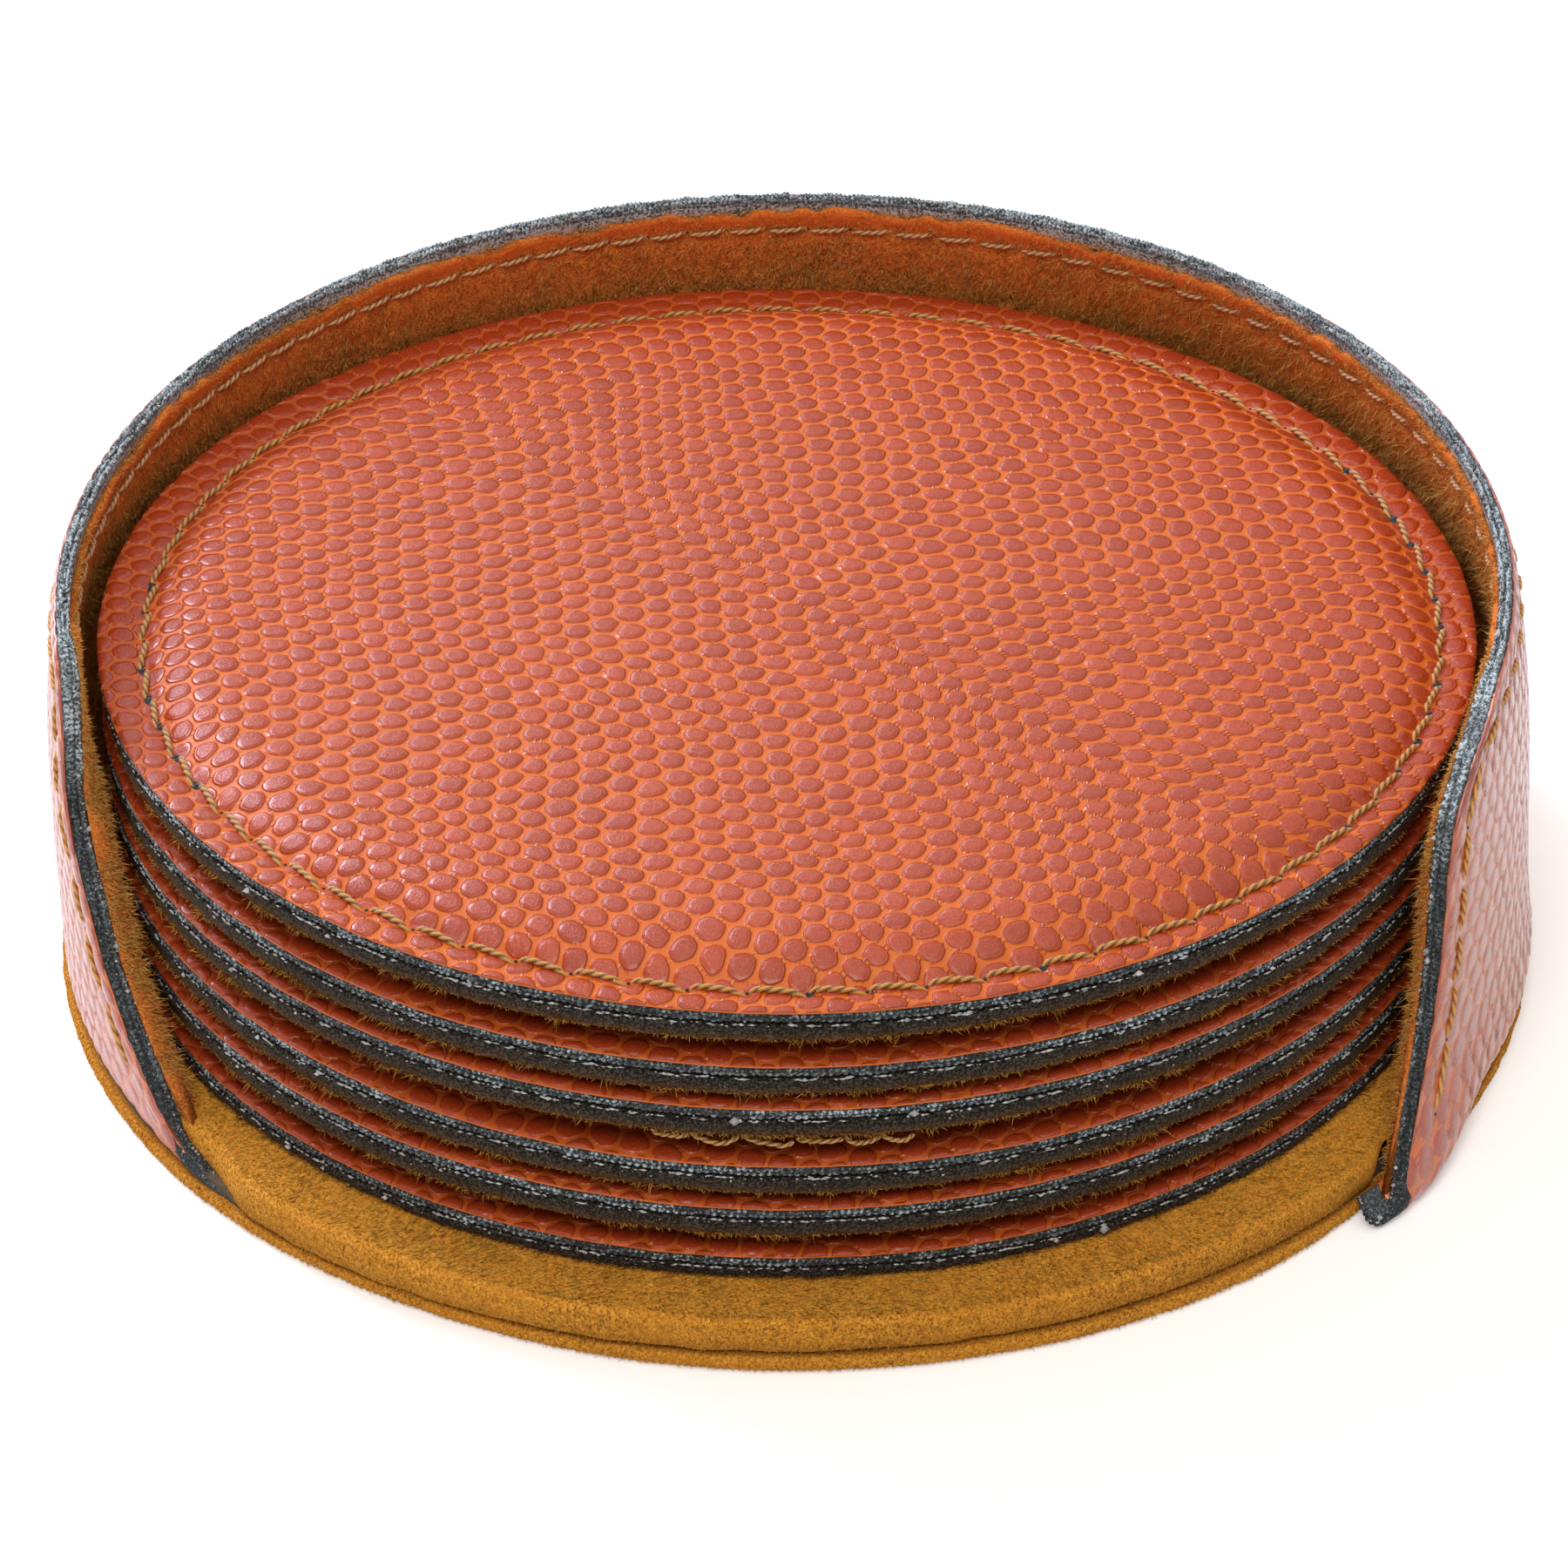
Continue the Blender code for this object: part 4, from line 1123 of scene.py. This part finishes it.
def wall_lining():
    rng = np.random.default_rng(81)
    columns, upright = 520, 60
    line = np.linspace(1, -1, columns + 1) * (1 - 0.10 / HALF_ARC)
    trim = 1.05 + 0.34 * noise(line * 22, 0.0, 82) + 0.30 * noise(line * 80, 3.0, 82)
    low = 0.4 - 1.9 * ease(from_end(line), 7.0, 2.0)
    u = np.broadcast_to(line, (upright, columns + 1))
    v = low + np.linspace(0, 1, upright)[:, None] * (wall_top(line) - trim - low)
    arc = np.radians(wall_azimuth(u, v)) * LINING_ARC_R
    border = from_border(u, v)
    sewn = border - STITCH_INSET
    nap = 0.07 * noise(arc / 0.9, v / 0.9, 83) + 0.06 * noise(arc / 2.6, v / 2.6, 84)
    depth = WALL_T - 0.05 + nap - 0.16 * bell(sewn, 0.7) - 0.20 * ease(border, 0.9, 0.2)
    depth = depth + flared(u, v) - 0.25 * ease(v, 0.4, -0.6)
    shade = 0.75 * ease(sewn, 0.2, -0.4) * ease(sewn, -2.3, -1.4) * ease(from_end(u), 2.5, 6.0)
    piece = Piece("holder_wall_lining")
    sheet(piece, u, v, depth, back_depth=LINING_AT + 0.02 + swollen(u, v), every=11, shade=(shade, 0.0))
    border_fringe(piece, rng)
    piece.make(LINING_SUEDE, "holder", "lining_suede", "holder_wall_suede_lining")


def flared(u, v):
    """How far the lining's nap spreads inwards at the two ends, more so at the left."""
    most = np.where(np.asarray(u) > 0, LEFT_FLARE, RIGHT_FLARE)
    return most * ease(from_end(u), 5.0, 0.3) * ease(v, 0.0, 2.0) * ease(wall_top(u) - v, 0.5, 10.0)


FRINGE_HAIRS = 11500
NAP_HAIRS = 46000


def border_fringe(piece, rng):
    """Hair along the lining's cut edges, fullest down the left end."""
    count = FRINGE_HAIRS
    u, v, _, _ = border_path(step=0.2, inset=0.15, low=-1.2)
    ends = np.abs(u) > 0.96
    share = np.where(ends, np.where(u > 0, 1.0, 0.55), 0.16)
    pick = rng.choice(len(u), count, p=share / share.sum())
    u, v, at_end = u[pick], v[pick] + rng.uniform(-0.1, 0.1, count), ends[pick]
    v = v - np.where(at_end, 0.0, 0.65 + 0.25 * rng.random(count))
    side = np.sign(u)
    thick = WALL_T - LINING_AT + flared(u, v) - swollen(u, v)
    root = on_wall(u, v, LINING_AT + swollen(u, v) + thick * rng.random(count))
    azimuth = wall_azimuth(u, v)
    forward = polar(azimuth + side * 90.0, 1.0, 0.0)
    way = forward * np.where(at_end, rng.uniform(0.1, 1.3, count), rng.normal(0, 0.3, count))[:, None]
    way = way - polar(azimuth, 1.0, 0.0) * rng.uniform(0.0, 1.1, count)[:, None]
    way[:, 2] += np.where(at_end, rng.normal(0.0, 0.35, count), rng.uniform(0.0, 0.8, count))
    long = np.where(at_end, np.where(side > 0, 1.1, 0.62), 0.42)
    long = long * np.where(at_end, 0.4 + 0.6 * ease(wall_top(u) - v, 1.0, 9.0), 1.0)
    fibres(piece, root, way, long * (0.4 + 0.7 * rng.random(count)), width=0.068, seed=86, dark=0.15)


def wall_nap():
    """The lining's standing nap, combed down and longest round the right of the back."""
    rng = np.random.default_rng(85)
    count = NAP_HAIRS
    u = rng.uniform(-0.995, 0.995, count)
    high = rng.random(count) < 0.80
    by_end = ~high & (rng.random(count) < 0.55)
    u = np.where(by_end, np.sign(u) * (1 - 0.045 * rng.random(count)), u)
    top = wall_top(u)
    v = np.where(high, top - 1.0 - 8.5 * rng.random(count), 0.5 + (top - 2.0) * rng.random(count))
    v = np.where(by_end & (u > 0), v - 1.4, v)
    band = STITCH_INSET + 0.3
    short = ease(top - v, band + 0.8, band)
    points, out = wall_frame(u, v)
    root = points - out * (WALL_T - 0.14 + flared(u, v))[:, None]
    along = polar(wall_azimuth(u, v) + 90.0, 1.0, 0.0)
    sweep = rng.normal(0.35, 0.55, count)[:, None]
    way = -out * rng.uniform(0.10, 0.45, count)[:, None] + along * sweep
    way[:, 2] += rng.normal(-0.55, 0.35, count)
    right = ease(-u, -0.1, 0.45)
    reach = (0.45 + 0.45 * rng.random(count)) * (1 + 0.95 * right) * (1 - 0.55 * short)
    piece = Piece("holder_wall_nap")
    fibres(piece, root, way, reach, width=0.076, seed=88, droop=0.4, bent=False, dark=0.2, rect=WHOLE_RECT)
    piece.make(LINING_SUEDE, "holder", "lining_suede")


def wall_stitches(side, look, depth, way, proud):
    """A line of topstitch this deep under the wall's outer face; way is 1 outwards and -1 inwards."""
    u, v, _, _ = border_path(step=0.2, inset=STITCH_INSET, low=2.6)
    far = np.concatenate([[0], np.cumsum(np.hypot(np.diff(u * HALF_ARC), np.diff(v)))])
    marks = np.linspace(0, far[-1], round(far[-1] / STITCH_LENGTH) + 1)
    places = np.stack([np.interp(marks, far, u * HALF_ARC), np.interp(marks, far, v)], -1)

    def surface(place):
        return on_wall(place[..., 0] / HALF_ARC, place[..., 1], np.full(place.shape[:-1], depth))

    def normal(place):
        return way * wall_frame(place[..., 0] / HALF_ARC, place[..., 1])[1]

    piece = Piece(f"holder_wall_{side}_stitches")
    sew(piece, places[:-1], places[1:], surface, normal, WALL_THREAD_R, proud, sink=0.26, slant=0.14)
    piece.make(look, "holder", "thread", f"holder_wall_{side}_topstitch")


wall_leather()
wall_knit()
wall_lining()
wall_nap()
wall_stitches("outer", WALL_THREAD, depth=0.10, way=1, proud=0.10)
wall_stitches("inner", LINING_THREAD, depth=WALL_T - 0.16, way=-1, proud=0.22)


# Holder base


def signed_azimuth(azimuth):
    return (azimuth + 180.0) % 360.0 - 180.0


def front_share(azimuth, left=(50.0, 42.5)):
    """1 across the open front, easing to 0 behind each foot of the wall."""
    at = signed_azimuth(azimuth)
    return np.where(at < 0, ease(-at, *left), ease(at, 51.6, 48.4))


# Height of the dark groove between the two suede edges, by azimuth; it runs lower to the wall's feet
GROOVE = ((-150, 1.7), (-110, 1.15), (-60, 1.05), (-46, 0.95), (-40, 1.0), (-25, 1.2), (0, 1.28), (38, 1.2),
          (48, 1.1), (60, 1.0), (100, 1.1), (150, 1.7))


def groove_level(azimuth):
    return np.interp(signed_azimuth(azimuth), *zip(*GROOVE))


def foot_radius(azimuth):
    turned = np.sin(np.radians(azimuth))
    return RIM_R + LEAN + SIDE_BIAS * turned + RIGHT_OUT * np.maximum(turned, 0.0) ** 2


UPPER_COLUMNS = 900
UPPER_HAIRS = 26000
FRONT_HAIRS = 5200
FLAT_RINGS = (1.0, 8.0, 16.0, 24.0, 30.0, 35.0, 39.0, 42.0, 44.0, 45.5, 46.6)
UPPER_UNDERSIDE = 3.02
FRONT_HAIR_SHARE = 0.74


def upper_suede():
    rng = np.random.default_rng(91)
    column = np.arange(UPPER_COLUMNS)
    azimuth = 360.0 * column / UPPER_COLUMNS
    share = front_share(azimuth)
    at = signed_azimuth(azimuth)
    rim = foot_radius(azimuth) - WALL_T - 0.1 + 0.55 * ease(-at, 75.0, 60.0) * (at < 0)
    rim = rim + (LOWER_R - 0.25 + 0.06 * noise(azimuth / 2.3, 0.0, 92) - rim) * share
    lip = 3.0 + (groove_level(azimuth) + 0.12 - 3.0) * front_share(azimuth, (57.0, 50.0))
    lip = lip + 0.07 * noise(azimuth / 1.7, 5.0, 92)
    # Radius, height and softness of each ring, from the middle out over the rounded edge and down the lip
    rings = [(r, BASE_TOP, 1.0) for r in FLAT_RINGS]
    for out, down in ((1.15, 0.0), (0.75, 0.03), (0.42, 0.13), (0.17, 0.34), (0.04, 0.62)):
        rings.append((rim - out, BASE_TOP - down, 0.6))
    for part in (0.35, 0.7, 0.93):
        rings.append((rim + 0.03 * (1 - part), BASE_TOP - 0.62 + (lip - BASE_TOP + 0.62) * part, 0.5))
    rings += [(rim - 0.16, lip, 0.0), (rim - 0.75, lip, 0.0), (rim - 0.75, UPPER_UNDERSIDE, 0.0),
              (40.0, UPPER_UNDERSIDE, 0.0)]
    verts, groove_shade = [], []
    for radius, level, soft in rings:
        ring = polar(azimuth, radius, level)
        # Painted shade on the lip's rings that run below 2.2 mm, down into the groove at the front
        groove_shade.append(np.where(ring[:, 2] < 2.2, 0.4, 0.0))
        ring[:, 2] += soft * 0.05 * noise(ring[:, 0] / 1.3, ring[:, 1] / 1.3, 93)
        verts.append(ring)
    rows = len(rings)
    faces, _ = grid(rows, UPPER_COLUMNS, wrap=True)
    edge_reach = 0.42 + 0.065 * np.linspace(0, 1, rows - len(FLAT_RINGS))
    reach = np.concatenate([np.array(FLAT_RINGS) * 0.0088, edge_reach])
    flat = ring_map(azimuth, reach, HAIR_RECT[1])
    centre = column[::-1][None]
    groups = [(faces, flat[faces]), hidden((rows - 1) * UPPER_COLUMNS + column), (centre, flat[centre])]
    piece = Piece("holder_base_upper")
    piece.add(np.concatenate(verts), groups, shade=np.concatenate(groove_shade))

    def edge_at(places):
        return np.interp(places % 360.0, azimuth, rim, period=360.0)

    count = UPPER_HAIRS
    front, side = rng.random(count) < FRONT_HAIR_SHARE, rng.uniform(-1, 1, count)
    at = np.where(front, 44 * side + 18 * side**5, 360 * rng.random(count))
    edge = edge_at(at)
    near, all_over = (1 - np.sqrt(rng.random(count)) for _ in range(2))
    root = polar(at, edge - 0.5 - np.where(front, 15.0 * near, edge * 0.97 * all_over), BASE_TOP - 0.06)
    flow = 70 + 70 * noise(root[:, 0] / 5, root[:, 1] / 5, 90) + rng.normal(0, 26, count)
    way = polar(flow, 1.0, 0.10 + 0.40 * rng.random(count))
    long = 0.45 + 0.55 * rng.random(count)
    fibres(piece, root, way, long, width=0.070, seed=94, bent=False, dark=0.22)
    count = FRONT_HAIRS
    at = rng.uniform(-45, 47, count)
    low = groove_level(at) + 0.2
    root = polar(at, edge_at(at) - 0.05, low + (3.3 - low) * rng.random(count))
    way = polar(at + rng.normal(0, 55, count), 0.7, rng.normal(-0.8, 0.7, count))
    long = 0.20 + 0.32 * rng.random(count)
    fibres(piece, root, way, long, width=0.050, seed=95, bent=False, dark=0.5)
    piece.make(BASE_SUEDE, "holder", "base_suede", "holder_base_upper_suede")


LOWER_COLUMNS = 2800
LOWER_HAIRS = 3200
PLEATS = 640
# Out from the rim, height and softness of each ring of the lower suede
LOWER_SECTION = (
    (-40.0, 1.46, 0.0), (-1.3, 1.46, 0.2), (-0.75, 1.50, 0.5), (-0.32, 1.46, 0.8), (-0.08, 1.28, 1.0),
    (0.0, 1.02, 1.0), (0.02, 0.74, 1.0), (0.0, 0.46, 1.0), (-0.08, 0.22, 1.0), (-0.30, 0.04, 0.6),
    (-0.9, 0.0, 0.1), (-3.0, 0.0, 0.0), (-12.0, 0.0, 0.0), (-28.0, 0.0, 0.0), (-44.0, 0.0, 0.0),
)


def lower_suede():
    """The wrapped disc under it, drawn into fine pleats round its edge."""
    rng = np.random.default_rng(96)
    column = np.arange(LOWER_COLUMNS)
    azimuth = 360.0 * column / LOWER_COLUMNS
    at = signed_azimuth(azimuth)
    rim = LOWER_R - 0.25 * ease(-at, 30.0, 70.0) + 0.05 * bell(at, 40.0)
    rim = rim + 0.9 * np.sin(np.radians(at)) ** 2 * (at > 0)
    rim = rim - 0.35 * bell(at + 28.0, 16.0) - 0.45 * bell(at - 47.0, 7.0)
    behind = ease(at, 48.4, 49.8) * ease(at, 60.0, 53.0)
    rim = rim + (LOWER_R - 0.62 - rim) * behind
    squeeze = np.minimum(1.0, (groove_level(azimuth) - 0.10) / 1.5)
    wave = np.sin(np.radians(azimuth) * PLEATS + 2 * noise(azimuth / 1.9, 0.0, 97))
    ragged = (0.05 + 0.05 * ease(-at, 20.0, 50.0)) * wave + 0.05 * noise(azimuth / 1.1, 2.0, 98)
    verts = [polar(azimuth, rim + out + soft * ragged, level * (squeeze if out > -1.0 else 1.0))
             for out, level, soft in LOWER_SECTION]
    rows = len(LOWER_SECTION)
    faces, places = grid(rows, LOWER_COLUMNS, wrap=True, bands=20, rect=STRIP_RECT)
    groups = [(faces, places), hidden(column[::-1]), hidden((rows - 1) * LOWER_COLUMNS + column)]
    # Painted shade in the groove under the upper suede: the rings of the top edge are much darker, the other
    # rings a little darker
    shade = [0.0] + [0.6 if level > 1.4 else 0.12 for _, level, _ in LOWER_SECTION[1:]]
    piece = Piece("holder_base_lower")
    piece.add(np.concatenate(verts), groups, shade=np.repeat(shade, LOWER_COLUMNS))
    turn = rng.uniform(-178, 46, LOWER_HAIRS)
    edge, squeezed = (np.interp(turn % 360.0, azimuth, found, period=360.0) for found in (rim, squeeze))
    root = polar(turn, edge - 0.06, rng.uniform(0.15, 1.4, LOWER_HAIRS) * squeezed)
    way = polar(turn + rng.normal(0, 50, LOWER_HAIRS), 1.0, rng.normal(0.0, 0.6, LOWER_HAIRS))
    long = 0.14 + 0.18 * rng.random(LOWER_HAIRS)
    fibres(piece, root, way, long, width=0.050, seed=99)
    piece.make(BASE_SUEDE, "holder", "base_suede", "holder_base_lower_suede")


upper_suede()
lower_suede()
for name in ("holder_base_upper_board", "holder_base_lower_board"):
    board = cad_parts[name].data
    board.materials.clear()
    board.materials.append(BOARD)


# Studio, in metres

FLOOR_SIZE = 6.0
FLOOR_Z = -0.00005
CAMERA_AIM = (-0.00019, 0.0, 0.01039)
CAMERA_DISTANCE = 0.3572
CAMERA_ELEVATION = math.radians(33.36)
LENS_MM = 120.0
SENSOR_MM = 36.0
# Name, place, aim, size, power and colour of each light
LIGHTS = (
    ("key_left_back", (-0.48, 0.47, 0.46), (0.0, 0.0, 0.02), 0.34, 5.5, (0.78, 0.82, 1.0)),
    ("top", (0.05, 0.05, 0.85), (0.0, 0.0, 0.0), 0.8, 2.2, (1.0, 0.96, 0.88)),
    ("front_fill", (-0.08, -0.50, 0.76), (0.0, 0.0, 0.02), 0.5, 3.6, (1.0, 0.97, 0.90)),
    ("low_back", (-0.45, 1.08, 0.28), (0.0, 0.0, 0.02), 0.80, 3.2, (0.94, 0.92, 1.0)),
)


def seen_rays(nodes):
    """1 for what the camera sees, also in reflections and through clear things."""
    rays = nodes.tree.nodes.new("ShaderNodeLightPath").outputs
    seen = nodes.sums("MAXIMUM", rays["Is Camera Ray"], rays["Is Glossy Ray"])
    return nodes.sums("MAXIMUM", seen, rays["Is Transmission Ray"])


def add_floor():
    """A pale floor, which glows more the further it is, so that it ends in white."""
    bpy.ops.mesh.primitive_plane_add(size=FLOOR_SIZE, location=(0.0, 0.0, FLOOR_Z))
    floor = bpy.context.object
    floor.name = "studio_floor"
    look = Look("pale_floor")
    away = look.add("ShaderNodeVectorMath", {0: look.place()}, "Value", operation="LENGTH")
    glow = look.between(away, 0.25, 0.80, 0.30, 1.0)
    look.put(Base_Color=(0.90, 0.90, 0.90), Roughness=0.9, Emission_Color=(1.0, 1.0, 1.0),
             Emission_Strength=look.sums("MULTIPLY", seen_rays(look), glow))
    floor.data.materials.append(look.material)


def add_light(name, place, aim, size, power, colour):
    light = bpy.data.lights.new(name, "AREA")
    light.shape = "DISK"
    light.size = size
    light.energy = power
    light.color = colour
    obj = bpy.data.objects.new(name, light)
    bpy.context.scene.collection.objects.link(obj)
    obj.location = place
    way = np.array(aim) - np.array(place)
    flat = math.hypot(way[0], way[1])
    obj.rotation_euler = (math.atan2(flat, -way[2]), 0.0, math.atan2(way[1], way[0]) - math.pi / 2)


def add_world():
    """A white surround that lights the object more softly than it shows."""
    world = bpy.data.worlds.new("studio")
    bpy.context.scene.world = world
    nodes = Nodes(world)
    back = nodes.tree.nodes["Background"].inputs
    back["Color"].default_value = (1.0, 1.0, 1.0, 1.0)
    nodes.feed(back["Strength"], nodes.between(seen_rays(nodes), 0.0, 1.0, 0.25, 1.0))


def add_camera():
    """The camera fitted to the photograph."""
    away = np.array([0.0, -math.cos(CAMERA_ELEVATION), math.sin(CAMERA_ELEVATION)])
    data = bpy.data.cameras.new("photo_camera")
    data.lens, data.sensor_width, data.sensor_height = LENS_MM, SENSOR_MM, SENSOR_MM
    data.clip_start, data.clip_end = 0.01, 20.0
    camera = bpy.data.objects.new("photo_camera", data)
    bpy.context.scene.collection.objects.link(camera)
    camera.location = np.array(CAMERA_AIM) + CAMERA_DISTANCE * away
    camera.rotation_euler = (math.pi / 2 - CAMERA_ELEVATION, 0.0, 0.0)
    bpy.context.scene.camera = camera


add_floor()
add_world()
for row in LIGHTS:
    add_light(*row)
add_camera()
bpy.context.scene.view_settings.view_transform = "Standard"

bpy.context.view_layer.update()
